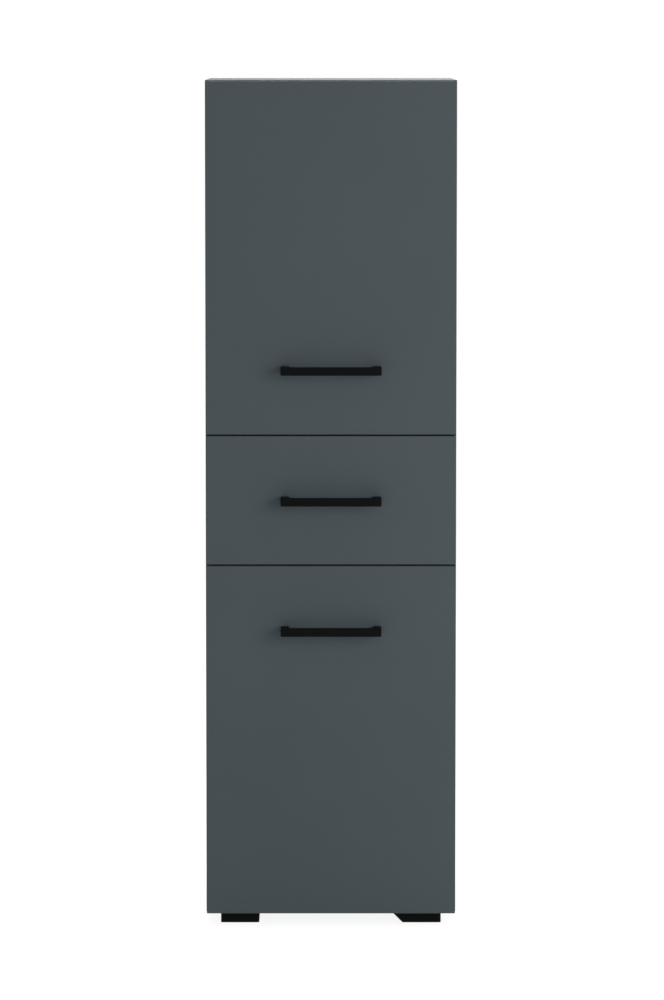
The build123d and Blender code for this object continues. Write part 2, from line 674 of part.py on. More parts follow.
def hinge_pin(z):
    """The pin that the door turns on, pressed into both lugs."""
    return rod_z(PIN_X, PIN_Y, z - PIN_HALF_LENGTH, z + PIN_HALF_LENGTH, PIN_RADIUS)


def cup_screws(hinge_zs):
    """Two screws through each cup's wing into the door."""
    screws = []
    x = CUP_X + CUP_SCREW_OFFSET
    seat = FRONT_BACK_Y + CUP_FLANGE
    for z in hinge_zs:
        for side in (-1, 1):
            level = z + side * CUP_SCREW_HALF_SPACING
            shaft = rod_y(x, FRONT_BACK_Y - CUP_SCREW_REACH, seat + CUP_SCREW_HEAD / 2, level, CUP_SCREW_RADIUS)
            head = rod_y(x, seat, seat + CUP_SCREW_HEAD, level, CUP_SCREW_HEAD_RADIUS)
            screws.append(shaft + head)
    return screws


def arm_profile(points, reach):
    """A strip of the arm's thickness along a bent line, seen from above, as wide as reach each way."""
    line = FilletPolyline(*points, radius=ARM_BEND_RADIUS)
    return extrude(trace(line, ARM_THICKNESS), amount=reach, both=True)


def hinge_arm(z):
    """The cranked arm: an eye round the pin, a swan neck out of the cup, and a channel on the plate."""
    crest = -INNER_X + ARM_LIFT + ARM_THICKNESS / 2
    deep = (PIN_X + 8.0, PIN_Y - 0.7)
    turn = (PIN_X + 12.5, PIN_Y + 2.5)
    mouth = (PIN_X + 14.0, PIN_Y + 9.5)
    rise = (PIN_X + 16.5, PIN_Y + 16.0)
    start = (crest, PLATE_Y - PLATE_HALF_LENGTH - 4.0)
    end = PLATE_Y + PLATE_HALF_LENGTH
    low = arm_profile([(PIN_X, PIN_Y), deep, turn, mouth], EYE_HALF_WIDTH)
    neck = arm_profile([turn, mouth, rise, start, (crest, start[1] + 6.0)], ARM_NECK_HALF_WIDTH)
    back = crest - ARM_THICKNESS / 2
    face = crest + ARM_THICKNESS / 2
    strap = block(back, face, start[1], end, -ARM_HALF_WIDTH, ARM_HALF_WIDTH)
    cheeks = []
    for side in (-1, 1):
        z0, z1 = sorted((side * ARM_HALF_WIDTH, side * (ARM_HALF_WIDTH - ARM_THICKNESS)))
        cheeks.append(block(back - ARM_FLANGE_DEPTH, face, start[1] + 3.0, end, z0, z1))
    eye = rod_z(PIN_X, PIN_Y, -EYE_HALF_WIDTH, EYE_HALF_WIDTH, EYE_RADIUS)
    bore = rod_z(PIN_X, PIN_Y, -EYE_HALF_WIDTH, EYE_HALF_WIDTH, PIN_RADIUS + PIN_CLEARANCE)
    holes = []
    for y in arm_screw_ys():
        holes.append(rod_x(back, face, y, 0, ARM_SCREW_RADIUS + HOLE_PLAY))
    body = low + neck + strap + cheeks + eye - [bore] - holes
    return Pos(0, 0, z) * body


def arm_screw_ys():
    """The two screws that hold the arm on its plate."""
    return (PLATE_Y - ARM_SCREW_SPACING / 2, PLATE_Y + ARM_SCREW_SPACING / 2)


def hinge_plate(z):
    """The mounting plate: a raised rib for the arm and two wings for the screws."""
    y0 = PLATE_Y - PLATE_HALF_LENGTH
    y1 = PLATE_Y + PLATE_HALF_LENGTH
    x0 = -INNER_X
    rib = block(x0, x0 + ARM_LIFT, y0, y1, -PLATE_RIB_HALF_WIDTH, PLATE_RIB_HALF_WIDTH)
    span = PLATE_WING_HALF_SPAN
    wings = block(
        x0,
        x0 + PLATE_WING_THICKNESS,
        PLATE_Y - PLATE_WING_HALF_WIDTH,
        PLATE_Y + PLATE_WING_HALF_WIDTH,
        -span,
        span,
    )
    wings = fillet(wings.edges().filter_by(Axis.X), PLATE_WING_HALF_WIDTH * 0.8)
    cuts = []
    for side in (-1, 1):
        level = side * PLATE_SCREW_HALF_SPACING
        hole = PLATE_SCREW_RADIUS + HOLE_PLAY
        cuts.append(rod_x(x0, x0 + PLATE_WING_THICKNESS, PLATE_Y, level, hole))
    for y in arm_screw_ys():
        hole = ARM_SCREW_RADIUS + HOLE_PLAY
        cuts.append(rod_x(x0 + ARM_LIFT - ARM_SCREW_REACH - HOLE_PLAY, x0 + ARM_LIFT, y, 0, hole))
    return Pos(0, 0, z) * (rib + wings - cuts)


def hinge_plate_screws():
    """The screws of all mounting plates into the left side."""
    screws = []
    seat = -INNER_X + PLATE_WING_THICKNESS
    for z in LOWER_HINGE_ZS + UPPER_HINGE_ZS:
        for side in (-1, 1):
            level = z + side * PLATE_SCREW_HALF_SPACING
            tip = -INNER_X - PLATE_SCREW_REACH
            shaft = rod_x(tip, seat + PLATE_SCREW_HEAD / 2, PLATE_Y, level, PLATE_SCREW_RADIUS)
            head = rod_x(seat, seat + PLATE_SCREW_HEAD, PLATE_Y, level, PLATE_SCREW_HEAD_RADIUS)
            screws.append(shaft + head)
    return screws


def hinge_arm_screws():
    """The screws that clamp each arm to its plate and set its depth."""
    screws = []
    seat = -INNER_X + ARM_LIFT + ARM_THICKNESS
    for z in LOWER_HINGE_ZS + UPPER_HINGE_ZS:
        for y in arm_screw_ys():
            tip = -INNER_X + ARM_LIFT - ARM_SCREW_REACH
            shaft = rod_x(tip, seat + ARM_SCREW_HEAD / 2, y, z, ARM_SCREW_RADIUS)
            head = rod_x(seat, seat + ARM_SCREW_HEAD, y, z, ARM_SCREW_HEAD_RADIUS)
            screws.append(shaft + head)
    return screws


# Roller runners


def countersink(x0, x1, r0, r1, y, z):
    """A cone along X from radius r0 at x0 to radius r1 at x1."""
    middle = Pos((x0 + x1) / 2, y, z)
    return middle * Rot(0, 90, 0) * Cone(r0, r1, x1 - x0)


def cabinet_runner():
    """The left channel: a web on the side with a flange above and a flange below."""
    x0 = -INNER_X
    x1 = x0 + RUNNER_METAL
    low = CHANNEL_Z
    high = CHANNEL_Z + RUNNER_INSIDE_HEIGHT
    web = block(x0, x1, RUNNER_Y0, RUNNER_Y1, low - RUNNER_METAL, high + RUNNER_METAL)
    floor = block(x0, x0 + RUNNER_FLANGE, RUNNER_Y0, RUNNER_Y1, low - RUNNER_METAL, low)
    roof = block(x0, x0 + RUNNER_FLANGE, RUNNER_Y0, RUNNER_Y1, high, high + RUNNER_METAL)
    cuts = []
    for y in runner_screw_ys():
        small = RUNNER_SCREW_RADIUS + HOLE_PLAY
        large = RUNNER_SCREW_HEAD_RADIUS + HOLE_PLAY
        cuts.append(countersink(x0, x1, small, large, y, FRONT_ROLLER_Z))
    return web + floor + roof - cuts


def cabinet_runner_screws():
    """Countersunk screws through the channel's web, flush so that the drawer's roller passes."""
    screws = []
    x1 = -INNER_X + RUNNER_METAL
    for y in runner_screw_ys():
        shaft = rod_x(-INNER_X - RUNNER_SCREW_REACH, -INNER_X, y, FRONT_ROLLER_Z, RUNNER_SCREW_RADIUS)
        head = countersink(-INNER_X, x1, RUNNER_SCREW_RADIUS, RUNNER_SCREW_HEAD_RADIUS, y, FRONT_ROLLER_Z)
        screws.append(shaft + head)
    return both(screws)


def front_roller_x():
    """The left front roller's inner and outer face, from the channel's web."""
    x0 = -INNER_X + RUNNER_METAL + ROLLER_SIDE_PLAY
    return x0, x0 + ROLLER_WIDTH


def rear_roller_x():
    """The left rear roller's outer and inner face, from the drawer runner's leg."""
    x1 = -DRAWER_X - RUNNER_METAL - ROLLER_SIDE_PLAY
    return x1 - ROLLER_WIDTH, x1


def roller(faces, y, z):
    """A plastic roller between two faces with a bore for its axle."""
    x0, x1 = faces
    tread = rod_x(x0, x1, y, z, ROLLER_RADIUS)
    tread = chamfer(tread.edges().filter_by(GeomType.CIRCLE), 0.6)
    return tread - rod_x(x0, x1, y, z, AXLE_RADIUS + AXLE_CLEARANCE)


def front_axle():
    """The left front roller's axle, riveted in the channel's web, with its head outside the roller."""
    _, x1 = front_roller_x()
    seat = x1 + AXLE_HEAD_PLAY
    shaft = rod_x(-INNER_X + RUNNER_METAL, seat + AXLE_HEAD / 2, FRONT_ROLLER_Y, FRONT_ROLLER_Z, AXLE_RADIUS)
    head = rod_x(seat, seat + AXLE_HEAD, FRONT_ROLLER_Y, FRONT_ROLLER_Z, AXLE_HEAD_RADIUS)
    return shaft + head


def rear_axle():
    """The left rear roller's axle, riveted in the drawer runner's leg."""
    x0, _ = rear_roller_x()
    seat = x0 - AXLE_HEAD_PLAY
    leg = -DRAWER_X - RUNNER_METAL
    shaft = rod_x(seat - AXLE_HEAD / 2, leg, REAR_ROLLER_Y, REAR_ROLLER_Z, AXLE_RADIUS)
    head = rod_x(seat - AXLE_HEAD, seat, REAR_ROLLER_Y, REAR_ROLLER_Z, AXLE_HEAD_RADIUS)
    return shaft + head


def drawer_runner():
    """The left drawer profile: a foot under the drawer side, a leg beside it and a lip over the rollers."""
    y0 = FRONT_BACK_Y + RUNNER_FROM_FRONT
    y1 = DRAWER_REAR_Y
    outer = -DRAWER_X - RUNNER_METAL
    top = LIP_Z + RUNNER_METAL
    foot_flange = block(outer, -DRAWER_IN_X, y0, y1, CHANNEL_Z, DRAWER_Z)
    leg = block(outer, -DRAWER_X, y0, y1, CHANNEL_Z, top)
    lip = block(-DRAWER_X - LIP_REACH, -DRAWER_X, y0, y1, LIP_Z, top)
    cuts = []
    for y in drawer_runner_screw_ys():
        x = -(DRAWER_X + DRAWER_IN_X) / 2
        cuts.append(rod_z(x, y, CHANNEL_Z, DRAWER_Z, RUNNER_SCREW_RADIUS + HOLE_PLAY))
    return foot_flange + leg + lip - cuts


def drawer_runner_screw_ys():
    """The two screws under each drawer side."""
    return (FRONT_BACK_Y + DRAWER_RUNNER_SCREW_FROM_END, DRAWER_REAR_Y - DRAWER_RUNNER_SCREW_FROM_END)


def drawer_runner_screws():
    """Screws from below through the drawer runner into the drawer side."""
    x = -(DRAWER_X + DRAWER_IN_X) / 2
    screws = []
    for y in drawer_runner_screw_ys():
        top = DRAWER_Z + DRAWER_RUNNER_SCREW_REACH
        low = CHANNEL_Z - DRAWER_RUNNER_SCREW_HEAD
        shaft = rod_z(x, y, low + DRAWER_RUNNER_SCREW_HEAD / 2, top, RUNNER_SCREW_RADIUS)
        head = rod_z(x, y, low, CHANNEL_Z, RUNNER_SCREW_HEAD_RADIUS)
        screws.append(shaft + head)
    return both(screws)


# Drawer box


def drawer_front():
    """The drawer's front, with a groove for its bottom and the fittings' holes."""
    panel = front_panel(DRAWER_FRONT_Z, DRAWER_FRONT_HEIGHT, DRAWER_HANDLE_Z)
    reach = DRAWER_IN_X + DRAWER_GROOVE_DEPTH
    cuts = [drawer_groove(-reach, reach, FRONT_BACK_Y - DRAWER_GROOVE_DEPTH, FRONT_BACK_Y)]
    x = -(DRAWER_X + DRAWER_IN_X) / 2
    holes = []
    y = FRONT_BACK_Y - CAM_BOLT_THREAD - HOLE_PLAY
    holes.append(rod_y(x, y, FRONT_BACK_Y, DRAWER_MID_Z, CAM_BOLT_THREAD_RADIUS + HOLE_PLAY))
    for side in (-1, 1):
        z = DRAWER_MID_Z + side * DRAWER_DOWEL_FROM_CAM
        y = FRONT_BACK_Y - DOWEL_IN_SIDE - DOWEL_END_PLAY
        holes.append(rod_y(x, y, FRONT_BACK_Y, z, DRAWER_DOWEL_RADIUS + HOLE_PLAY))
    return panel - cuts - both(holes)


def drawer_groove(x0, x1, y0, y1):
    """The groove for the drawer's bottom between two corners."""
    z0 = DRAWER_FLOOR_Z - GROOVE_PLAY
    z1 = DRAWER_FLOOR_Z + DRAWER_BOTTOM + GROOVE_PLAY
    return block(x0, x1, y0, y1, z0, z1)


def drawer_side():
    """The drawer's left side."""
    board = block(-DRAWER_X, -DRAWER_IN_X, FRONT_BACK_Y, DRAWER_REAR_Y, DRAWER_Z, DRAWER_TOP_Z)
    inner = -DRAWER_IN_X
    middle_x = -(DRAWER_X + DRAWER_IN_X) / 2
    cam_y = FRONT_BACK_Y + CAM_FROM_END
    cuts = [drawer_groove(inner - DRAWER_GROOVE_DEPTH, inner, FRONT_BACK_Y, DRAWER_REAR_Y)]
    cuts.append(rod_x(inner - DRAWER_CAM_DEPTH, inner, cam_y, DRAWER_MID_Z, CAM_RADIUS + CAM_PLAY))
    cuts.append(rod_y(middle_x, FRONT_BACK_Y, cam_y, DRAWER_MID_Z, CAM_BORE_RADIUS + HOLE_PLAY))
    for side in (-1, 1):
        z = DRAWER_MID_Z + side * DRAWER_DOWEL_FROM_CAM
        y = FRONT_BACK_Y + DOWEL_IN_BOARD + DOWEL_END_PLAY
        cuts.append(rod_y(middle_x, FRONT_BACK_Y, y, z, DRAWER_DOWEL_RADIUS + HOLE_PLAY))
    for z in drawer_back_screw_zs():
        y = DRAWER_REAR_Y - DRAWER_SIDE / 2
        cuts.append(rod_x(-DRAWER_X, inner, y, z, DRAWER_SCREW_RADIUS + HOLE_PLAY))
        head_x = -DRAWER_X + DRAWER_SCREW_HEAD
        cuts.append(rod_x(-DRAWER_X, head_x, y, z, DRAWER_SCREW_HEAD_RADIUS + HOLE_PLAY))
    for y in drawer_runner_screw_ys():
        top = DRAWER_Z + DRAWER_RUNNER_SCREW_REACH + HOLE_PLAY
        cuts.append(rod_z(middle_x, y, DRAWER_Z, top, RUNNER_SCREW_RADIUS + HOLE_PLAY))
    return board - cuts


def drawer_back_screw_zs():
    """Heights of the screws through the drawer sides into its back."""
    return (DRAWER_MID_Z - DRAWER_SCREW_FROM_MIDDLE, DRAWER_MID_Z + DRAWER_SCREW_FROM_MIDDLE)


def drawer_back():
    """The drawer's back, which stands on the bottom between the sides."""
    low = DRAWER_FLOOR_Z + DRAWER_BOTTOM
    board = block(-DRAWER_IN_X, DRAWER_IN_X, DRAWER_REAR_Y - DRAWER_SIDE, DRAWER_REAR_Y, low, DRAWER_TOP_Z)
    cuts = []
    for z in drawer_back_screw_zs():
        tip = -DRAWER_X + DRAWER_SCREW_LENGTH + HOLE_PLAY
        y = DRAWER_REAR_Y - DRAWER_SIDE / 2
        cuts.append(rod_x(-DRAWER_IN_X, tip, y, z, DRAWER_SCREW_RADIUS + HOLE_PLAY))
    return board - both(cuts)


def drawer_bottom():
    """The drawer's thin bottom, in the grooves of the front and the sides."""
    reach = DRAWER_IN_X + DRAWER_GROOVE_DEPTH - BACK_END_PLAY
    y0 = FRONT_BACK_Y - DRAWER_GROOVE_DEPTH + BACK_END_PLAY
    z0 = DRAWER_FLOOR_Z
    return block(-reach, reach, y0, DRAWER_REAR_Y, z0, z0 + DRAWER_BOTTOM)


def drawer_cam_locks():
    """The cam locks in the drawer sides, which pull the front on."""
    lock = cam_lock(DRAWER_CAM_HEIGHT, DRAWER_SIDE / 2)
    turned = Rot(0, -90, 0) * Rot(0, 0, 90) * lock
    y = FRONT_BACK_Y + CAM_FROM_END
    return both([Pos(-DRAWER_IN_X, y, DRAWER_MID_Z) * turned])


def drawer_cam_bolts():
    """The cam bolts from the front into the drawer sides."""
    bolt = cam_bolt(CAM_FROM_END + CAM_BOLT_HEAD / 2, CAM_BOLT_THREAD)
    x = -(DRAWER_X + DRAWER_IN_X) / 2
    return both([Pos(x, FRONT_BACK_Y, DRAWER_MID_Z) * Rot(0, 0, 90) * bolt])


def drawer_dowels():
    """The dowels between the drawer's front and its sides."""
    x = -(DRAWER_X + DRAWER_IN_X) / 2
    dowels = []
    for side in (-1, 1):
        z = DRAWER_MID_Z + side * DRAWER_DOWEL_FROM_CAM
        y0 = FRONT_BACK_Y - DOWEL_IN_SIDE
        dowels.append(rod_y(x, y0, FRONT_BACK_Y + DOWEL_IN_BOARD, z, DRAWER_DOWEL_RADIUS))
    return both(dowels)


def drawer_back_screws():
    """The screws through the drawer sides into its back."""
    y = DRAWER_REAR_Y - DRAWER_SIDE / 2
    screws = []
    for z in drawer_back_screw_zs():
        shaft = rod_x(-DRAWER_X + DRAWER_SCREW_HEAD / 2, -DRAWER_X + DRAWER_SCREW_LENGTH, y, z, DRAWER_SCREW_RADIUS)
        head = rod_x(-DRAWER_X, -DRAWER_X + DRAWER_SCREW_HEAD, y, z, DRAWER_SCREW_HEAD_RADIUS)
        screws.append(shaft + head)
    return both(screws)


def drawer_bumpers():
    """Four bumpers, two at each side of the drawer's front."""
    bumpers = []
    for z in (DRAWER_FRONT_Z + BUMPER_FROM_END, DRAWER_FRONT_Z + DRAWER_FRONT_HEIGHT - BUMPER_FROM_END):
        bumpers.append(bumper(-BUMPER_X, z))
    return both(bumpers)


def build():
    """Make every piece and write it."""
    os.makedirs("parts", exist_ok=True)
    save("left_side_panel", left_side())
    save("right_side_panel", flip(left_side_blank()))
    save("top_panel", top_board())
    save("bottom_panel", bottom_board())
    save("lower_divider", level_board(LOWER_DIVIDER_Z))
    save("upper_divider", level_board(UPPER_DIVIDER_Z))
    save("back_panel", back_panel())
    save("lower_shelf", shelf(LOWER_SHELF_Z))
    save("upper_shelf", shelf(UPPER_SHELF_Z))
    save("shelf_pins", shelf_pins())
    save("cam_locks", cam_locks())
    save("cam_bolts", cam_bolts())
    save("carcass_dowels", carcass_dowels())

    moulding = foot()
    for name, x, y, angle in foot_places():
        save(name, Pos(x, y, 0) * Rot(0, 0, angle) * moulding)
    save("foot_screws", foot_screws())

    save("lower_door_panel", door_panel(LOWER_DOOR_Z, LOWER_HINGE_ZS, LOWER_HANDLE_Z))
    save("lower_door_handle", handle(LOWER_HANDLE_Z))
    save("lower_handle_screws", handle_screws(LOWER_HANDLE_Z))
    save("lower_hinge_cups", [cup(z) for z in LOWER_HINGE_ZS])
    save("lower_hinge_pins", [hinge_pin(z) for z in LOWER_HINGE_ZS])
    save("lower_cup_screws", cup_screws(LOWER_HINGE_ZS))
    save("lower_door_bumpers", door_bumpers(LOWER_DOOR_Z))

    save("upper_door_panel", door_panel(UPPER_DOOR_Z, UPPER_HINGE_ZS, UPPER_HANDLE_Z))
    save("upper_door_handle", handle(UPPER_HANDLE_Z))
    save("upper_handle_screws", handle_screws(UPPER_HANDLE_Z))
    save("upper_hinge_cups", [cup(z) for z in UPPER_HINGE_ZS])
    save("upper_hinge_pins", [hinge_pin(z) for z in UPPER_HINGE_ZS])
    save("upper_cup_screws", cup_screws(UPPER_HINGE_ZS))
    save("upper_door_bumpers", door_bumpers(UPPER_DOOR_Z))

    save("hinge_arms", [hinge_arm(z) for z in LOWER_HINGE_ZS + UPPER_HINGE_ZS])
    save("hinge_plates", [hinge_plate(z) for z in LOWER_HINGE_ZS + UPPER_HINGE_ZS])
    save("hinge_screws", hinge_plate_screws() + hinge_arm_screws())

    save("left_cabinet_runner", cabinet_runner())
    save("right_cabinet_runner", flip(cabinet_runner()))
    save("cabinet_runner_screws", cabinet_runner_screws())
    save("front_roller_axles", both([front_axle()]))
    front = roller(front_roller_x(), FRONT_ROLLER_Y, FRONT_ROLLER_Z)
    save("left_front_roller", front)
    save("right_front_roller", flip(front))

    save("drawer_front", drawer_front())
    save("drawer_handle", handle(DRAWER_HANDLE_Z))
    save("drawer_handle_screws", handle_screws(DRAWER_HANDLE_Z))
    save("drawer_left_side", drawer_side())
    save("drawer_right_side", flip(drawer_side()))
    save("drawer_back", drawer_back())
    save("drawer_bottom", drawer_bottom())
    save("drawer_cam_locks", drawer_cam_locks())
    save("drawer_cam_bolts", drawer_cam_bolts())
    save("drawer_dowels", drawer_dowels())
    save("drawer_bumpers", drawer_bumpers())
    save("left_drawer_runner", drawer_runner())
    save("right_drawer_runner", flip(drawer_runner()))
    save("drawer_screws", drawer_back_screws() + drawer_runner_screws())
    save("rear_roller_axles", both([rear_axle()]))
    rear = roller(rear_roller_x(), REAR_ROLLER_Y, REAR_ROLLER_Z)
    save("left_rear_roller", rear)
    save("right_rear_roller", flip(rear))


build()
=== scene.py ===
"""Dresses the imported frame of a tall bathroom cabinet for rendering.

The slate boards, the black pulls and feet, the hinges, the runners and every small fastener take
procedural finishes. Shapes finer than the frame's solids, such as the rounded pulls, the screws
with their cross recesses, the rollers and the soft bumpers, are surfaces worked out here with
numpy. Lengths are in metres and the frame's axes are kept: +Z is up and the fronts face -Y.
"""

from __future__ import annotations

import logging
import math
from dataclasses import dataclass, field
from enum import Enum
from typing import Any, Sequence

import bmesh
import bpy
import numpy as np
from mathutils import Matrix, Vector

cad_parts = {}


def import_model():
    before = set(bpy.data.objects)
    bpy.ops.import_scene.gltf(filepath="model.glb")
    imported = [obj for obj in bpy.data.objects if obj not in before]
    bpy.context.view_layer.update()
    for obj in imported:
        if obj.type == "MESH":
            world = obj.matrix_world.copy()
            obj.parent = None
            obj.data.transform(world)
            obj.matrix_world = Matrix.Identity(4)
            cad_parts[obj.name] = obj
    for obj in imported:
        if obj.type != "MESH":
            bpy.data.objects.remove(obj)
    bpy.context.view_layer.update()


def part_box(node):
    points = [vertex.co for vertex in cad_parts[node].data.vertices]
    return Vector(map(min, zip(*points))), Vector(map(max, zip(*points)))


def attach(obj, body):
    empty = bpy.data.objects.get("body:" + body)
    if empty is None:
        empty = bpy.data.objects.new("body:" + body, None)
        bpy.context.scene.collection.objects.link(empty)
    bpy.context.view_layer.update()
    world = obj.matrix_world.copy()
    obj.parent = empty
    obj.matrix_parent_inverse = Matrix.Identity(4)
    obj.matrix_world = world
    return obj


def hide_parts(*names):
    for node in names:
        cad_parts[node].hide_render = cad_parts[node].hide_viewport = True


LOG = logging.getLogger("cabinet")
Pair = tuple[float, float]
Vector3 = tuple[float, float, float]


# Meshes


@dataclass(frozen=True)
class Surface:
    """A quad mesh under construction.

    Attributes:
        points: the vertices, one row each.
        faces: quads as rows of four vertex numbers.
        fans: closed loops of vertex numbers that are filled with one face each.
    """

    points: np.ndarray
    faces: np.ndarray
    fans: tuple[np.ndarray, ...] = ()

    @staticmethod
    def grid(
        points: np.ndarray, wrap: bool, cap_first: bool = False, cap_last: bool = False
    ) -> "Surface":
        """Join a grid of points into quads.

        Row i and column j hold the point P(i, j). The quad (i, j) has the corners (i, j), (i, j+1),
        (i+1, j+1) and (i+1, j), and the columns close into a ring where wrap is set.

        Args:
            points: an array of rows by columns by three.
            wrap: whether the last column joins the first.
            cap_first: whether the first row is filled with a face.
            cap_last: whether the last row is filled with a face.

        Returns:
            The surface.
        """
        rows, columns = points.shape[:2]
        across = columns if wrap else columns - 1
        i, j = np.meshgrid(np.arange(rows - 1), np.arange(across), indexing="ij")
        right = (j + 1) % columns
        here, below = i * columns, (i + 1) * columns
        quads = np.stack([here + j, here + right, below + right, below + j], axis=-1)
        fans = []
        if cap_first:
            fans.append(np.arange(columns)[::-1])
        if cap_last:
            fans.append((rows - 1) * columns + np.arange(columns))
        return Surface(points.reshape(-1, 3), quads.reshape(-1, 4), tuple(fans))

    def moved(self, matrix: np.ndarray, offset: Sequence[float]) -> "Surface":
        """Turn the surface by a 3 by 3 matrix and shift it: p' = M p + offset."""
        return Surface(self.points @ matrix.T + np.asarray(offset), self.faces, self.fans)

    @staticmethod
    def joined(surfaces: Sequence["Surface"]) -> "Surface":
        """Put several surfaces into one, each with its vertex numbers raised by those before it.

        Args:
            surfaces: the surfaces in order.

        Returns:
            One surface that holds them all.
        """
        starts = np.cumsum([0] + [len(one.points) for one in surfaces[:-1]])
        points = np.concatenate([one.points for one in surfaces])
        faces = np.concatenate([one.faces + start for one, start in zip(surfaces, starts)])
        fans = tuple(fan + start for one, start in zip(surfaces, starts) for fan in one.fans)
        return Surface(points, faces, fans)

    def piece(self, name: str, smooth_angle: float = 35.0) -> bpy.types.Object:
        """Make the mesh object, with its faces turned outwards and its sharp edges kept.

        Args:
            name: the object's name.
            smooth_angle: edges that bend more than this many degrees stay sharp.

        Returns:
            The new object, at the origin.
        """
        mesh = bpy.data.meshes.new(name)
        fans = [fan.tolist() for fan in self.fans]
        mesh.from_pydata(self.points.tolist(), [], self.faces.tolist() + fans)
        mesh.validate()
        mesh.update()
        thing = bpy.data.objects.new(name, mesh)
        bpy.context.scene.collection.objects.link(thing)
        tidy_normals(mesh)
        mesh.shade_smooth()
        mesh.set_sharp_from_angle(angle=math.radians(smooth_angle))
        return thing


def tidy_normals(mesh: bpy.types.Mesh) -> None:
    """Merge double vertices and point all faces of a closed mesh outwards.

    Args:
        mesh: the mesh, changed in place.
    """
    work = bmesh.new()
    work.from_mesh(mesh)
    bmesh.ops.remove_doubles(work, verts=work.verts, dist=1e-7)
    bmesh.ops.recalc_face_normals(work, faces=work.faces)
    work.to_mesh(mesh)
    work.free()


def axes_matrix(direction: Vector3) -> np.ndarray:
    """A rotation whose third column is the direction, so that +Z turns onto it.

    The second column is the direction crossed with a helper axis, and the first completes the set.

    Args:
        direction: a unit vector.

    Returns:
        The 3 by 3 matrix.
    """
    w = np.asarray(direction, dtype=float)
    helper = np.array([0.0, 0.0, 1.0]) if abs(w[2]) < 0.9 else np.array([1.0, 0.0, 0.0])
    v = np.cross(w, helper)
    v /= np.linalg.norm(v)
    u = np.cross(v, w)
    return np.stack([u, v, w], axis=1)


def full_turn(steps: int) -> np.ndarray:
    """Evenly spaced angles 2 pi k / n round one turn."""
    return np.linspace(0.0, 2.0 * math.pi, steps, endpoint=False)


def lathe(profile: Sequence[Pair], sides: int) -> Surface:
    """Turn a profile about Z: P(i, a) = (r_i cos a, r_i sin a, z_i).

    Args:
        profile: pairs of radius and height, from one pole or rim to the other.
        sides: how many columns go round.

    Returns:
        The surface, closed by a face at each end.
    """
    radius, height = np.asarray(profile, dtype=float).T
    angle = full_turn(sides)
    x = radius[:, None] * np.cos(angle)
    y = radius[:, None] * np.sin(angle)
    z = np.broadcast_to(height[:, None], x.shape)
    return Surface.grid(np.stack([x, y, z], axis=-1), wrap=True, cap_first=True, cap_last=True)


def arc(centre: Pair, radius: float, start: float, end: float, steps: int) -> np.ndarray:
    """Points c + r (cos t, sin t) for t from start to end in degrees."""
    t = np.radians(np.linspace(start, end, steps))
    return np.stack([centre[0] + radius * np.cos(t), centre[1] + radius * np.sin(t)], axis=-1)


# Finishes


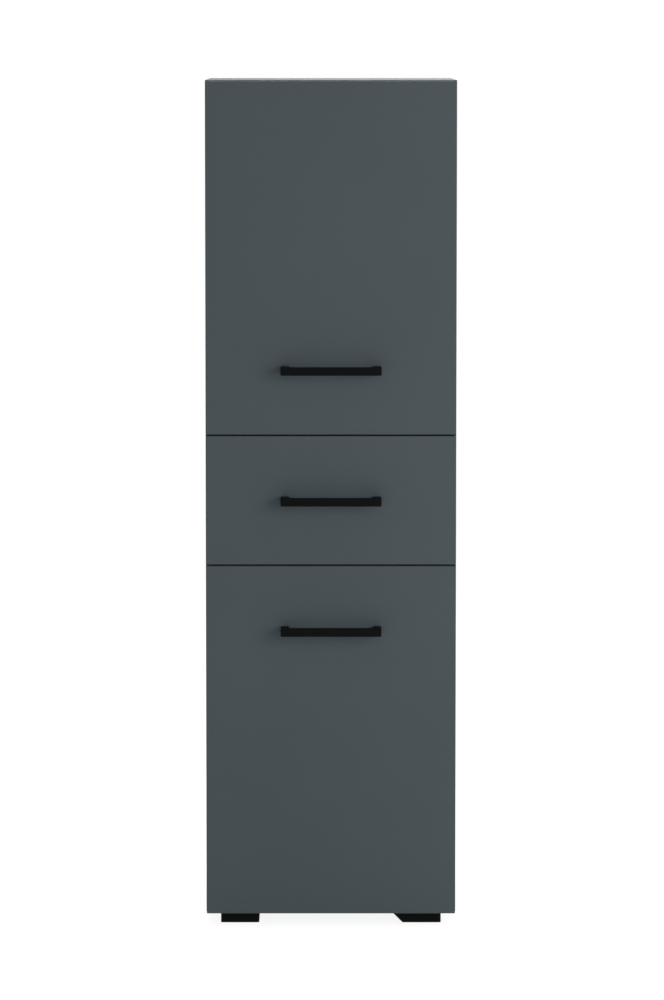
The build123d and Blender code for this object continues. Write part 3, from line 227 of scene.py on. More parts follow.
class Sheet:
    """A material's node tree, with short calls for the nodes that the finishes need."""

    def __init__(self, name: str) -> None:
        """Start an empty material with a Principled shader.

        Args:
            name: the material's name.
        """
        self.material = bpy.data.materials.new(name)
        self.material.use_nodes = True
        self.tree = self.material.node_tree
        self.tree.nodes.clear()
        self.output = self.add("ShaderNodeOutputMaterial")
        self.shader = self.add("ShaderNodeBsdfPrincipled")
        self.join(self.shader.outputs["BSDF"], self.output.inputs["Surface"])
        self.place = self.add("ShaderNodeTexCoord").outputs["Object"]

    def add(self, kind: str, **settings: Any) -> bpy.types.Node:
        """Add a node and set its properties.

        Args:
            kind: the node's type.
            settings: its properties by name.

        Returns:
            The node.
        """
        node = self.tree.nodes.new(kind)
        for key, value in settings.items():
            setattr(node, key, value)
        return node

    def join(self, source: Any, target: Any) -> None:
        """Link an output to an input."""
        self.tree.links.new(source, target)

    def feed(self, target: Any, value: Any) -> None:
        """Set an input to a number or link it to an output.

        Args:
            target: the input.
            value: a number, a colour or an output.
        """
        if isinstance(value, bpy.types.NodeSocket):
            self.join(value, target)
        else:
            target.default_value = value

    def math(self, operation: str, first: Any, second: Any = 0.0) -> Any:
        """Work out one or two values with a math node.

        Args:
            operation: the node's operation.
            first: a number or an output.
            second: a number or an output.

        Returns:
            The result.
        """
        node = self.add("ShaderNodeMath", operation=operation)
        self.feed(node.inputs[0], first)
        self.feed(node.inputs[1], second)
        return node.outputs[0]

    def stretched(self, scale: Vector3) -> Any:
        """Multiply the object coordinates by a scale on each axis.

        Args:
            scale: the three factors.

        Returns:
            The stretched coordinates.
        """
        node = self.add("ShaderNodeMapping")
        node.inputs["Scale"].default_value = scale
        self.join(self.place, node.inputs["Vector"])
        return node.outputs[0]

    def noise(self, scale: float, detail: float, rough: float, vector: Any = None) -> Any:
        """Fractal noise between about 0 and 1.

        Args:
            scale: waves per metre.
            detail: how many finer layers are added.
            rough: how strong each finer layer is beside the last.
            vector: coordinates, or the object's own.

        Returns:
            The noise.
        """
        node = self.add("ShaderNodeTexNoise")
        node.inputs["Scale"].default_value = scale
        node.inputs["Detail"].default_value = detail
        node.inputs["Roughness"].default_value = rough
        self.join(vector or self.place, node.inputs["Vector"])
        return node.outputs["Fac"]

    def cells(self, scale: float, vector: Any = None) -> Any:
        """The random colour of each Voronoi cell.

        Args:
            scale: cells per metre.
            vector: coordinates, or the object's own.

        Returns:
            The colour.
        """
        node = self.add("ShaderNodeTexVoronoi")
        node.inputs["Scale"].default_value = scale
        self.join(vector or self.place, node.inputs["Vector"])
        return node.outputs["Color"]

    def spread(
        self, value: Any, low: float, high: float, start: float = 0.0, end: float = 1.0
    ) -> Any:
        """Map a value from start..end onto low..high, clamped.

        Args:
            value: the output that is mapped.
            low: the result at the start.
            high: the result at the end.
            start: the value that gives low.
            end: the value that gives high.

        Returns:
            The result.
        """
        node = self.add("ShaderNodeMapRange")
        self.join(value, node.inputs["Value"])
        node.inputs["From Min"].default_value = start
        node.inputs["From Max"].default_value = end
        node.inputs["To Min"].default_value = low
        node.inputs["To Max"].default_value = high
        return node.outputs["Result"]

    def clouds(
        self, scale: float, detail: float, rough: float, start: float, end: float, high: float = 1.0
    ) -> Any:
        """Noise mapped from start..end onto 0..high, so that it has plain light and dark places."""
        return self.spread(self.noise(scale, detail, rough), 0.0, high, start, end)

    def blend(self, amount: Any, first: Any, second: Any) -> Any:
        """Mix two colours: a (1 - t) + b t.

        Args:
            amount: t, from 0 to 1.
            first: a, as three numbers or an output.
            second: b, likewise.

        Returns:
            The mixed colour.
        """
        node = self.add("ShaderNodeMix", data_type="RGBA")
        self.feed(node.inputs["Factor"], amount)
        colour_inputs = node.inputs[6], node.inputs[7]
        for target, colour in zip(colour_inputs, (first, second)):
            linked = isinstance(colour, bpy.types.NodeSocket)
            self.feed(target, colour if linked else (*colour, 1.0))
        return node.outputs[2]

    def axis(self, which: str) -> Any:
        """One object coordinate.

        Args:
            which: X, Y or Z.

        Returns:
            The coordinate.
        """
        node = self.add("ShaderNodeSeparateXYZ")
        self.join(self.place, node.inputs[0])
        return node.outputs[which]

    def bump(self, height: Any, depth: float, strength: float = 1.0, under: Any = None) -> Any:
        """A normal from a height field, laid over another normal.

        Args:
            height: the field, from 0 to 1.
            depth: its depth in metres.
            strength: how much of it counts.
            under: the normal below, or the plain one.

        Returns:
            The normal.
        """
        node = self.add("ShaderNodeBump")
        node.inputs["Strength"].default_value = strength
        node.inputs["Distance"].default_value = depth
        self.join(height, node.inputs["Height"])
        if under is not None:
            self.join(under, node.inputs["Normal"])
        return node.outputs["Normal"]

    def set(self, **values: Any) -> None:
        """Set or link inputs of the shader by name, with underscores for spaces."""
        for key, value in values.items():
            self.feed(self.shader.inputs[key.replace("_", " ")], value)


def direct_rays(tree: bpy.types.NodeTree) -> Any:
    """One for camera, glossy and transmission rays and zero for others: the largest of the three.

    Args:
        tree: the node tree that gets the nodes.

    Returns:
        The output that holds it.
    """
    path = tree.nodes.new("ShaderNodeLightPath")
    seen = path.outputs["Is Camera Ray"]
    for kind in ("Is Glossy Ray", "Is Transmission Ray"):
        largest = tree.nodes.new("ShaderNodeMath")
        largest.operation = "MAXIMUM"
        tree.links.new(seen, largest.inputs[0])
        tree.links.new(path.outputs[kind], largest.inputs[1])
        seen = largest.outputs[0]
    return seen


def scaled(colour: Vector3, factor: float) -> Vector3:
    """A colour with each part multiplied by a factor."""
    return tuple(part * factor for part in colour)


class Side(Enum):
    """Which side of a plane a raw edge lies on."""

    ABOVE = "GREATER_THAN"
    BELOW = "LESS_THAN"


@dataclass(frozen=True)
class RawEdge:
    """A board edge with no band: everything past a level on one axis.

    Attributes:
        axis: X, Y or Z.
        level: where the raw part starts.
        side: on which side of the level it lies.
    """

    axis: str
    level: float
    side: Side

    def mask(self, sheet: Sheet) -> Any:
        """One where the surface lies past the level, else zero."""
        return sheet.math(self.side.value, sheet.axis(self.axis), self.level)


@dataclass(frozen=True)
class Melamine:
    """Matt coloured melamine on chipboard, with raw edges where no band was glued.

    Attributes:
        name: the material's name.
        colour: the film's colour, linear.
        roughness: the middle roughness.
        mottle: how far the wide clouds wander from the colour.
        grain: depth of the film's grain in metres.
        raw: where the chipboard shows.
        joint_box: centre and half sizes in X and Z of a front whose edge band shows its hairline.
        cloud_scale: waves per metre of the clouds.
        speck_scale: waves per metre of the dark specks.
        speck_share: how strongly the specks show.
        line: where the hairline starts and ends, from the rim in metres.
        line_share: how strongly the hairline shows.
        gloss: strength of the facing reflection.
    """

    name: str
    colour: Vector3
    roughness: float = 0.58
    mottle: float = 0.035
    grain: float = 0.000012
    raw: tuple[RawEdge, ...] = ()
    joint_box: tuple[float, float, float, float] | None = None
    cloud_scale: float = 5.0
    speck_scale: float = 2600.0
    speck_share: float = 0.35
    line: Pair = (0.00075, 0.00095)
    line_share: float = 0.45
    gloss: float = 0.25

    def face(self, sheet: Sheet) -> Any:
        """The film's colour: wide soft clouds and a fine speckle around one tone.

        Args:
            sheet: the material's node tree.

        Returns:
            The colour.
        """
        low = scaled(self.colour, 1.0 - self.mottle)
        high = scaled(self.colour, 1.0 + self.mottle)
        wide = sheet.clouds(self.cloud_scale, 2.0, 0.45, start=0.3, end=0.7)
        clouds = sheet.blend(wide, low, high)
        speck = sheet.clouds(self.speck_scale, 2.0, 0.6, start=0.36, end=0.66)
        share = sheet.math("MULTIPLY", speck, self.speck_share)
        return sheet.blend(share, clouds, scaled(self.colour, 0.9))

    def joint(self, sheet: Sheet) -> Any:
        """The hairline between the face and the glued edge band.

        Its distance from the rim is min(hx - |x - cx|, hz - |z - cz|), and the line covers a fifth
        of a millimetre of it.

        Args:
            sheet: the material's node tree.

        Returns:
            One on the line, else zero.
        """
        cx, cz, hx, hz = self.joint_box
        across = sheet.math("ABSOLUTE", sheet.math("SUBTRACT", sheet.axis("X"), cx))
        along = sheet.math("ABSOLUTE", sheet.math("SUBTRACT", sheet.axis("Z"), cz))
        near_x = sheet.math("SUBTRACT", hx, across)
        near_z = sheet.math("SUBTRACT", hz, along)
        near = sheet.math("MINIMUM", near_x, near_z)
        inside = sheet.math("GREATER_THAN", near, self.line[0])
        outside = sheet.math("LESS_THAN", near, self.line[1])
        return sheet.math("MULTIPLY", inside, outside)

    def build(self) -> bpy.types.Material:
        """Make the material: film, hairline, grain, and chipboard past each raw edge.

        Returns:
            The material.
        """
        sheet = Sheet(self.name)
        colour = self.face(sheet)
        wear = sheet.noise(40.0, detail=3.0, rough=0.6)
        rough = sheet.spread(wear, self.roughness - 0.03, self.roughness + 0.04)
        if self.joint_box is not None:
            line = sheet.math("MULTIPLY", self.joint(sheet), self.line_share)
            colour = sheet.blend(line, colour, scaled(self.colour, 0.35))
        fine = sheet.noise(1500.0, detail=2.0, rough=0.55)
        normal = sheet.bump(fine, self.grain, 0.6)
        waves = sheet.noise(55.0, detail=2.0, rough=0.4)
        normal = sheet.bump(waves, self.grain * 2.0, 0.35, normal)
        if self.raw:
            mask = self.raw[0].mask(sheet)
            for edge in self.raw[1:]:
                mask = sheet.math("MAXIMUM", mask, edge.mask(sheet))
            colour = sheet.blend(mask, colour, chip_colour(sheet))
            rough = sheet.math("MAXIMUM", rough, sheet.math("MULTIPLY", mask, 0.9))
            pits = sheet.math("MULTIPLY", sheet.noise(900.0, detail=4.0, rough=0.7), mask)
            normal = sheet.bump(pits, 0.0004, 0.8, normal)
        sheet.set(
            Base_Color=colour, Roughness=rough, Normal=normal, Specular_IOR_Level=self.gloss
        )
        return sheet.material


def chip_colour(sheet: Sheet) -> Any:
    """Pressed wood chips: random tan and brown flakes with darker glue between them.

    Args:
        sheet: the material's node tree.

    Returns:
        The colour.
    """
    flakes = sheet.cells(420.0, sheet.stretched((1.0, 1.6, 0.8)))
    tone = sheet.spread(flakes, 0.0, 1.0, start=0.15, end=0.85)
    wood = sheet.blend(tone, (0.23, 0.145, 0.08), (0.47, 0.35, 0.22))
    gaps = sheet.clouds(700.0, 4.0, 0.65, start=0.5, end=0.75, high=0.8)
    return sheet.blend(gaps, wood, (0.12, 0.072, 0.04))


@dataclass(frozen=True)
class Fibreboard:
    """Thin hardboard: a coloured film on one side of a plane and bare brown fibres on the other.

    Attributes:
        name: the material's name.
        film: the film's colour, linear.
        bare: the plane, and the side of it that is bare.
        dark_fibre: the darker fibres' colour.
        light_fibre: the lighter fibres' colour.
        stain: the colour of the wide stains.
    """

    name: str
    film: Vector3
    bare: RawEdge
    dark_fibre: Vector3 = (0.16, 0.095, 0.055)
    light_fibre: Vector3 = (0.29, 0.19, 0.115)
    stain: Vector3 = (0.15, 0.09, 0.055)

    def build(self) -> bpy.types.Material:
        """Make the material: long fibres with wide stains, and the film past the plane.

        Returns:
            The material.
        """
        sheet = Sheet(self.name)
        upright = sheet.stretched((1.0, 1.0, 0.35))
        fibres = sheet.noise(260.0, detail=5.0, rough=0.7, vector=upright)
        tone = sheet.spread(fibres, 0.0, 1.0, start=0.3, end=0.7)
        brown = sheet.blend(tone, self.dark_fibre, self.light_fibre)
        stain = sheet.clouds(4.0, 3.0, 0.6, start=0.4, end=0.7, high=0.3)
        brown = sheet.blend(stain, brown, self.stain)
        mask = self.bare.mask(sheet)
        film = Melamine(self.name, self.film).face(sheet)
        weave = sheet.bump(fibres, 0.00012, 0.7)
        rough = sheet.spread(mask, 0.5, 0.8)
        sheet.set(Base_Color=sheet.blend(mask, film, brown), Roughness=rough, Normal=weave)
        return sheet.material


@dataclass(frozen=True)
class Coat:
    """A painted, moulded or plated surface.

    Attributes:
        name: the material's name.
        colour: the base colour, linear.
        roughness: the middle roughness.
        variation: how far the roughness wanders either way.
        metal: 1 for bare metal, 0 for paint and plastic.
        texture_scale: waves per metre of the surface's fine bumps.
        texture_depth: height of those bumps in metres.
        worn: a colour that shows through in faint clouds.
        worn_share: how strongly it shows.
        clear: how much light passes through, from 0 to 1.
        scatter: how much light spreads under the surface, from 0 to 1.
        gloss: strength of the facing reflection, where 0.5 is that of common plastic.
        scatter_depth: how deep the spreading light goes, in metres.
    """

    name: str
    colour: Vector3
    roughness: float
    variation: float = 0.05
    metal: float = 0.0
    texture_scale: float = 1200.0
    texture_depth: float = 0.00002
    worn: Vector3 | None = None
    worn_share: float = 0.25
    clear: float = 0.0
    scatter: float = 0.0
    gloss: float = 0.5
    scatter_depth: float = 0.002

    def build(self) -> bpy.types.Material:
        """Make the material: faint clouds, wear, wandering roughness and fine bumps.

        Returns:
            The material.
        """
        sheet = Sheet(self.name)
        clouds = sheet.clouds(120.0, 3.0, 0.6, start=0.3, end=0.7)
        colour = sheet.blend(clouds, scaled(self.colour, 0.9), self.colour)
        if self.worn is not None:
            patches = sheet.clouds(310.0, 4.0, 0.7, start=0.5, end=0.75, high=self.worn_share)
            colour = sheet.blend(patches, colour, self.worn)
        low, high = self.roughness - self.variation, self.roughness + self.variation
        wander = sheet.noise(70.0, detail=4.0, rough=0.65)
        rough = sheet.spread(wander, low, high, start=0.25, end=0.75)
        fine = sheet.noise(self.texture_scale, detail=3.0, rough=0.6)
        normal = sheet.bump(fine, self.texture_depth, 0.7)
        sheet.set(Base_Color=colour, Roughness=rough, Normal=normal)
        sheet.set(Metallic=self.metal, Specular_IOR_Level=self.gloss)
        if self.clear:
            sheet.set(Transmission_Weight=self.clear)
        if self.scatter:
            sheet.set(Subsurface_Weight=self.scatter, Subsurface_Scale=self.scatter_depth)
        return sheet.material


@dataclass(frozen=True)
class Beech:
    """Turned beech for the dowels, with fine grain drawn out along X.

    Attributes:
        name: the material's name.
        dark: the colour of the grain's dark lines.
        light: the colour between them.
        roughness: the sheen.
    """

    name: str
    dark: Vector3 = (0.43, 0.27, 0.14)
    light: Vector3 = (0.62, 0.44, 0.27)
    roughness: float = 0.6

    def build(self) -> bpy.types.Material:
        """Make the material: one noise, stretched along the grain, between two tones.

        Returns:
            The material.
        """
        sheet = Sheet(self.name)
        lengthwise = sheet.stretched((0.15, 1.0, 1.0))
        grain = sheet.noise(500.0, detail=4.0, rough=0.6, vector=lengthwise)
        tone = sheet.spread(grain, 0.0, 1.0, start=0.35, end=0.65)
        sheet.set(Base_Color=sheet.blend(tone, self.dark, self.light), Roughness=self.roughness)
        return sheet.material


@dataclass(frozen=True)
class Stage:
    """The pale floor and backdrop, which look white to the camera and keep a soft shadow.

    Attributes:
        name: the material's name.
        white: how much light the paper throws back.
        glow: strength of the glow.
        glow_share: how much of what is seen is glow, where the rest is lit paper.
    """

    name: str = "stage_paper"
    white: float = 0.9
    glow: float = 1.27
    glow_share: float = 0.7

    def build(self) -> bpy.types.Material:
        """Mix white paper with a plain glow that camera, glossy and clear rays alone see.

        Returns:
            The material.
        """
        sheet = Sheet(self.name)
        sheet.set(Base_Color=(self.white, self.white, self.white, 1.0), Roughness=0.9)
        glow = sheet.add("ShaderNodeEmission")
        glow.inputs["Strength"].default_value = self.glow
        mix = sheet.add("ShaderNodeMixShader")
        share = sheet.math("MULTIPLY", direct_rays(sheet.tree), self.glow_share)
        sheet.join(share, mix.inputs["Fac"])
        sheet.join(sheet.shader.outputs["BSDF"], mix.inputs[1])
        sheet.join(glow.outputs["Emission"], mix.inputs[2])
        sheet.join(mix.outputs["Shader"], sheet.output.inputs["Surface"])
        return sheet.material


SLATE: Vector3 = (0.0570, 0.0737, 0.0823)
RAW_REAR = RawEdge("Y", 0.1638, Side.ABOVE)


class Workshop:
    """Keeps each finish once and puts it on CAD nodes and on new pieces."""

    def __init__(self) -> None:
        """Start with no finishes made."""
        self.made: dict[str, bpy.types.Material] = {}

    def material(self, finish: Any) -> bpy.types.Material:
        """The finish's material, made at its first use.

        Args:
            finish: one of the finish classes.

        Returns:
            The material.
        """
        if finish.name not in self.made:
            self.made[finish.name] = finish.build()
        return self.made[finish.name]

    def dress_node(self, name: str, finish: Any) -> None:
        """Put a finish on a CAD node.

        Args:
            name: the node's name.
            finish: its finish.
        """
        thing = bpy.data.objects[name]
        thing.data.materials.clear()
        thing.data.materials.append(self.material(finish))
        LOG.info("node %s takes %s", name, finish.name)

    def dress(self, thing: bpy.types.Object, finish: Any, body: str, node: str) -> None:
        """Finish a new piece, let it ride on its body and stand for its node.

        Args:
            thing: the new piece.
            finish: its finish.
            body: the body that it moves with.
            node: the CAD node that it replaces.
        """
        thing.data.materials.clear()
        thing.data.materials.append(self.material(finish))
        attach(thing, body)
        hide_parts(node)
        LOG.info("piece %s rides on %s", thing.name, body)


POWDER_BLACK = Coat(
    "powder_black", (0.0022, 0.0026, 0.0029), 0.5, 0.05, 0.0, 2200.0, 0.00003,
    worn=(0.0045, 0.005, 0.0052), gloss=0.05,
)
FOOT_BLACK = Coat(
    "foot_black", (0.0024, 0.0024, 0.003), 0.48, 0.06, 0.0, 1500.0, 0.00003, gloss=0.06
)
ZINC = Coat(
    "zinc_plate", (0.56, 0.56, 0.57), 0.33, 0.08, 1.0, 900.0, 0.00001, worn=(0.42, 0.43, 0.45)
)
NICKEL = Coat(
    "nickel_plate", (0.64, 0.63, 0.61), 0.34, 0.07, 1.0, 500.0, 0.00001, worn=(0.5, 0.49, 0.47)
)
CAST_ZINC = Coat("cast_zinc", (0.47, 0.47, 0.48), 0.45, 0.08, 1.0, 1500.0, 0.00004)
ENAMEL = Coat("white_enamel", (0.78, 0.78, 0.76), 0.3, 0.05, 0.0, 350.0, 0.00002)
NYLON = Coat("white_nylon", (0.8, 0.8, 0.77), 0.38, 0.05, 0.0, 600.0, 0.00001, scatter=0.15)
SOFT_CLEAR = Coat("soft_clear", (0.85, 0.86, 0.86), 0.28, 0.04, 0.0, 800.0, 0.00001, clear=0.6)
BEECH = Beech("beech")
DRAWER_GREY: Vector3 = (0.30, 0.31, 0.32)
DRAWER_FILM = Melamine("drawer_film", DRAWER_GREY, 0.5, 0.02)


# Sub-assemblies


@dataclass
class Pull:
    """A square bar pull: one bar on two legs, its rounded section carried along a U-shaped path.

    Attributes:
        name: the piece's name.
        node: the CAD node that it replaces.
        body: the body that it moves with.
        edge: the radius of the section's four corners.
        inner_radius: the radius inside the bend from leg to bar.
        outer_radius: the radius outside it.
        leg: a leg's width.
        bar: the bar's depth.
        turn_steps: points along each bend.
        bar_steps: points along the bar between the bends.
        edge_steps: points round each corner of the section.
    """

    name: str
    node: str
    body: str
    edge: float = 0.0011
    inner_radius: float = 0.003
    outer_radius: float = 0.0012
    leg: float = 0.012
    bar: float = 0.012
    turn_steps: int = 9
    bar_steps: int = 5
    edge_steps: int = 6

    def plan(self, x0: float, x1: float, y0: float, y1: float) -> tuple[np.ndarray, np.ndarray]:
        """The outer and inner lines of the U seen from above, station by station.

        Both lines turn each corner through the same angles, the outer with its own small radius and
        the inner with a larger one, so the strip between them never folds.

        Args:
            x0: the left end.
            x1: the right end.
            y0: the bar's front.
            y1: the legs' feet.

        Returns:
            Two arrays of points in plan.
        """
        r, q = self.outer_radius, self.inner_radius
        left_outer = arc((x0 + r, y0 + r), r, 180.0, 270.0, self.turn_steps)
        left_inner = arc((x0 + self.leg + q, y0 + self.bar + q), q, 180.0, 270.0, self.turn_steps)
        right_outer = arc((x1 - r, y0 + r), r, 270.0, 360.0, self.turn_steps)
        right_inner = arc((x1 - self.leg - q, y0 + self.bar + q), q, 270.0, 360.0, self.turn_steps)
        share = np.linspace(0.0, 1.0, self.bar_steps + 2)[1:-1, None]
        mid_outer = left_outer[-1] * (1 - share) + right_outer[0] * share
        mid_inner = left_inner[-1] * (1 - share) + right_inner[0] * share
        outer = np.concatenate([[[x0, y1]], left_outer, mid_outer, right_outer, [[x1, y1]]])
        feet = [[x0 + self.leg, y1]], [[x1 - self.leg, y1]]
        inner = np.concatenate([feet[0], left_inner, mid_inner, right_inner, feet[1]])
        return outer, inner

    def section(self, width: float, height: float) -> tuple[np.ndarray, np.ndarray]:
        """A rounded rectangle as a share across and a height.

        Each corner is a quarter circle of the edge radius; the share is its distance from the inner
        line divided by the width.

        Args:
            width: the strip's width.
            height: the bar's height.

        Returns:
            Shares and heights of the ring's points.
        """
        e = self.edge
        corners = (
            ((width - e, height / 2 - e), 0.0),
            ((e, height / 2 - e), 90.0),
            ((e, -height / 2 + e), 180.0),
            ((width - e, -height / 2 + e), 270.0),
        )
        arcs = [arc(c, e, start, start + 90.0, self.edge_steps) for c, start in corners]
        ring = np.concatenate(arcs)
        return ring[:, 0] / width, ring[:, 1]

    def build(self, shop: Workshop) -> None:
        """Carry the section along the U over the CAD handle's box.

        A point's place in plan is inner + share (outer - inner), and its height is the section's.

        Args:
            shop: keeps the finishes.
        """
        low, high = (np.asarray(corner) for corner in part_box(self.node))
        outer, inner = self.plan(low[0], high[0], low[1], high[1])
        share, rise = self.section(self.bar, high[2] - low[2])
        span = outer - inner
        flat = inner[:, None, :] + span[:, None, :] * share[None, :, None]
        height = np.broadcast_to((low[2] + high[2]) / 2 + rise, flat.shape[:2])
        points = np.concatenate([flat, height[..., None]], axis=-1)
        surface = Surface.grid(points, wrap=True, cap_first=True, cap_last=True)
        shop.dress(surface.piece(self.name), POWDER_BLACK, self.body, self.node)


class HeadForm(Enum):
    """The shape of a screw's head."""

    PAN = "pan"
    FLAT = "flat"
    SUNK = "sunk"


HEAD_RINGS = (
    0.02, 0.1, 0.18, 0.24, 0.3, 0.38, 0.46, 0.54, 0.6, 0.66, 0.75, 0.85, 0.93, 0.98, 1.0
)


@dataclass(frozen=True)
class ScrewKind:
    """One kind of screw, measured from its seat: the head rises along +Z and the shaft goes down.

    Attributes:
        head_radius: the head's radius.
        head: the head's height above the seat.
        shaft_radius: the shaft's radius over its threads.
        reach: how far the shaft goes below the seat.
        form: the head's shape.
        pitch: the thread's pitch.
        cross: half width, reach and depth of the recess, each over the head's radius.
        thread: the thread's depth over the shaft's radius.
        sides: how many columns go round.
    """

    head_radius: float
    head: float
    shaft_radius: float
    reach: float
    form: HeadForm = HeadForm.PAN
    pitch: float = 0.0018
    cross: Vector3 = (0.15, 0.62, 0.42)
    thread: float = 0.16
    sides: int = 48

    def crown(self, share: np.ndarray) -> np.ndarray:
        """Height of the head's top over its seat at a share of its radius.

        A pan head is h (1 - 0.35 s^4), a flat or sunk one keeps the height h.

        Args:
            share: s, from 0 at the middle to 1 at the rim.

        Returns:
            The heights.
        """
        if self.form is HeadForm.PAN:
            return self.head * (1.0 - 0.35 * share**4)
        return np.full_like(share, self.head)

    def recess(self, x: np.ndarray, y: np.ndarray) -> np.ndarray:
        """Depth of the cross recess: a plus sign whose arms have sloping walls and rounded ends.

        With a half width w and a reach L, an arm's depth is clamp((w - |y|) / 0.35 w) times
        clamp((L - |x|) / 0.3 L), and the recess is the deeper of both arms.

        Args:
            x: places across the head.
            y: places up the head.

        Returns:
            The depths.
        """
        w, reach, depth = (share * self.head_radius for share in self.cross)

        def arm(a: np.ndarray, b: np.ndarray) -> np.ndarray:
            """One arm along a, narrow along b."""
            across = np.clip((w - np.abs(b)) / (0.35 * w), 0.0, 1.0)
            return across * np.clip((reach - np.abs(a)) / (0.3 * reach), 0.0, 1.0)

        return np.maximum(arm(x, y), arm(y, x)) * depth

    def surface(self) -> Surface:
        """The whole screw as one turned form whose head is pressed in by the cross.

        The rings run from the middle of the head's top outwards, down its side to the seat, and
        along the threaded shaft to its tip. The thread's radius is R - d (0.5 + 0.5 cos 2 pi
        (z / p - a)), with the depth d, the pitch p and the turn a.

        Returns:
            The surface, with its seat at the origin and its head towards +Z.
        """
        angle = full_turn(self.sides)
        cos, sin = np.cos(angle), np.sin(angle)
        share = np.array(HEAD_RINGS)
        x = share[:, None] * self.head_radius * cos
        y = share[:, None] * self.head_radius * sin
        head = np.stack([x, y, self.crown(share)[:, None] - self.recess(x, y)], axis=-1)
        if self.form is HeadForm.SUNK:
            rim = [(self.shaft_radius, 0.0)]
        else:
            seat_radius = self.head_radius * 0.985
            rim = [(self.head_radius, self.head * 0.25), (seat_radius, 0.0)]
        rings = int(max(6, self.reach / self.pitch * 4))
        shaft = [(self.shaft_radius, -self.reach * d) for d in np.linspace(0.0, 0.94, rings)]
        radius, height = np.array(rim + shaft).T[..., None]
        groove = np.zeros_like(radius)
        groove[len(rim) + 1:] = self.shaft_radius * self.thread
        turn = height / self.pitch - angle / (2.0 * math.pi)
        ring = radius - groove * (0.5 + 0.5 * np.cos(2.0 * math.pi * turn))
        low = np.stack([ring * cos, ring * sin, np.broadcast_to(height, ring.shape)], axis=-1)
        tip_radius = 0.2 * self.shaft_radius
        bottom = np.full_like(angle, -self.reach)
        tip = np.stack([tip_radius * cos, tip_radius * sin, bottom], axis=-1)
        points = np.concatenate([head, low, tip[None]])
        return Surface.grid(points, wrap=True, cap_first=True, cap_last=True)


Seat = tuple[ScrewKind, Vector3, Vector3]
RIGHTWARDS: Vector3 = (1.0, 0.0, 0.0)
BACKWARDS: Vector3 = (0.0, 1.0, 0.0)
DOWNWARDS: Vector3 = (0.0, 0.0, -1.0)


@dataclass
class ScrewSet:
    """All screws of one CAD node, each at its seat and along its own direction.

    Attributes:
        name: the piece's name.
        node: the CAD node that it replaces.
        body: the body that it moves with.
        seats: each screw's kind, the middle of its seat and the way that its head looks.
    """

    name: str
    node: str
    body: str
    seats: list[Seat]

    def build(self, shop: Workshop) -> None:
        """Place a screw at each seat: p' = A p + seat, with A turning +Z onto its direction.

        Args:
            shop: keeps the finishes.
        """
        parts = []
        for kind, seat, direction in self.seats:
            parts.append(kind.surface().moved(axes_matrix(direction), seat))
        piece = Surface.joined(parts).piece(self.name, smooth_angle=40.0)
        shop.dress(piece, ZINC, self.body, self.node)


@dataclass
class Roller:
    """A nylon runner roller: a crowned tread with a stepped hub on each face.

    Attributes:
        name: the piece's name.
        node: the CAD node that it replaces.
        body: the body that it turns with.
        bore: the radius of its hole.
        hub: the hub's radius.
        hub_slope: how much wider the hub is at its foot.
        web_depth: how deep the face is sunk round the hub.
        rim: inner edge, lip and shoulder of the rim, measured in from the tread.
        rim_lip: how far the lip lies below the shoulder.
        crown: how much the tread drops towards its sides.
        sides: how many rows go round.
    """

    name: str
    node: str
    body: str
    bore: float = 0.00205
    hub: float = 0.0042
    hub_slope: float = 0.0004
    web_depth: float = 0.0007
    rim: Vector3 = (0.0019, 0.0015, 0.0008)
    rim_lip: float = 0.0001
    crown: float = 0.00006
    sides: int = 64

    def profile(self, radius: float, width: float) -> list[Pair]:
        """Radius and height round the closed section, from the bore's edge and back to it.

        The tread is R - c (2 s)^2 for s from -0.42 to 0.42 of its width, with the crown c.

        Args:
            radius: the tread's radius R.
            width: the roller's width.

        Returns:
            The section's corners.
        """
        half = width / 2
        web = half - self.web_depth
        across = np.linspace(-0.42, 0.42, 9)
        tread = [(radius - self.crown * (2 * s) ** 2, s * width) for s in across]
        face = [(self.bore, half), (self.hub, half), (self.hub + self.hub_slope, web)]
        inner, lip, shoulder = (radius - depth for depth in self.rim)
        face += [(inner, web), (lip, half - self.rim_lip), (shoulder, half)]
        return [(r, -z) for r, z in face] + tread + face[::-1]

    def build(self, shop: Workshop) -> None:
        """Turn the section about the axle: P = centre + (z, r cos a, r sin a).

        Args:
            shop: keeps the finishes.
        """
        low, high = (np.asarray(corner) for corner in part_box(self.node))
        centre = (low + high) / 2
        radius = (high[2] - low[2]) / 2
        section = np.asarray(self.profile(radius, high[0] - low[0]))
        angle = full_turn(self.sides)[:, None]
        y = section[:, 0] * np.cos(angle)
        z = section[:, 0] * np.sin(angle)
        points = np.stack([np.broadcast_to(section[:, 1], y.shape), y, z], axis=-1) + centre
        surface = Surface.grid(np.concatenate([points, points[:1]]), wrap=True)
        piece = surface.piece(self.name, smooth_angle=30.0)
        shop.dress(piece, NYLON, self.body, self.node)


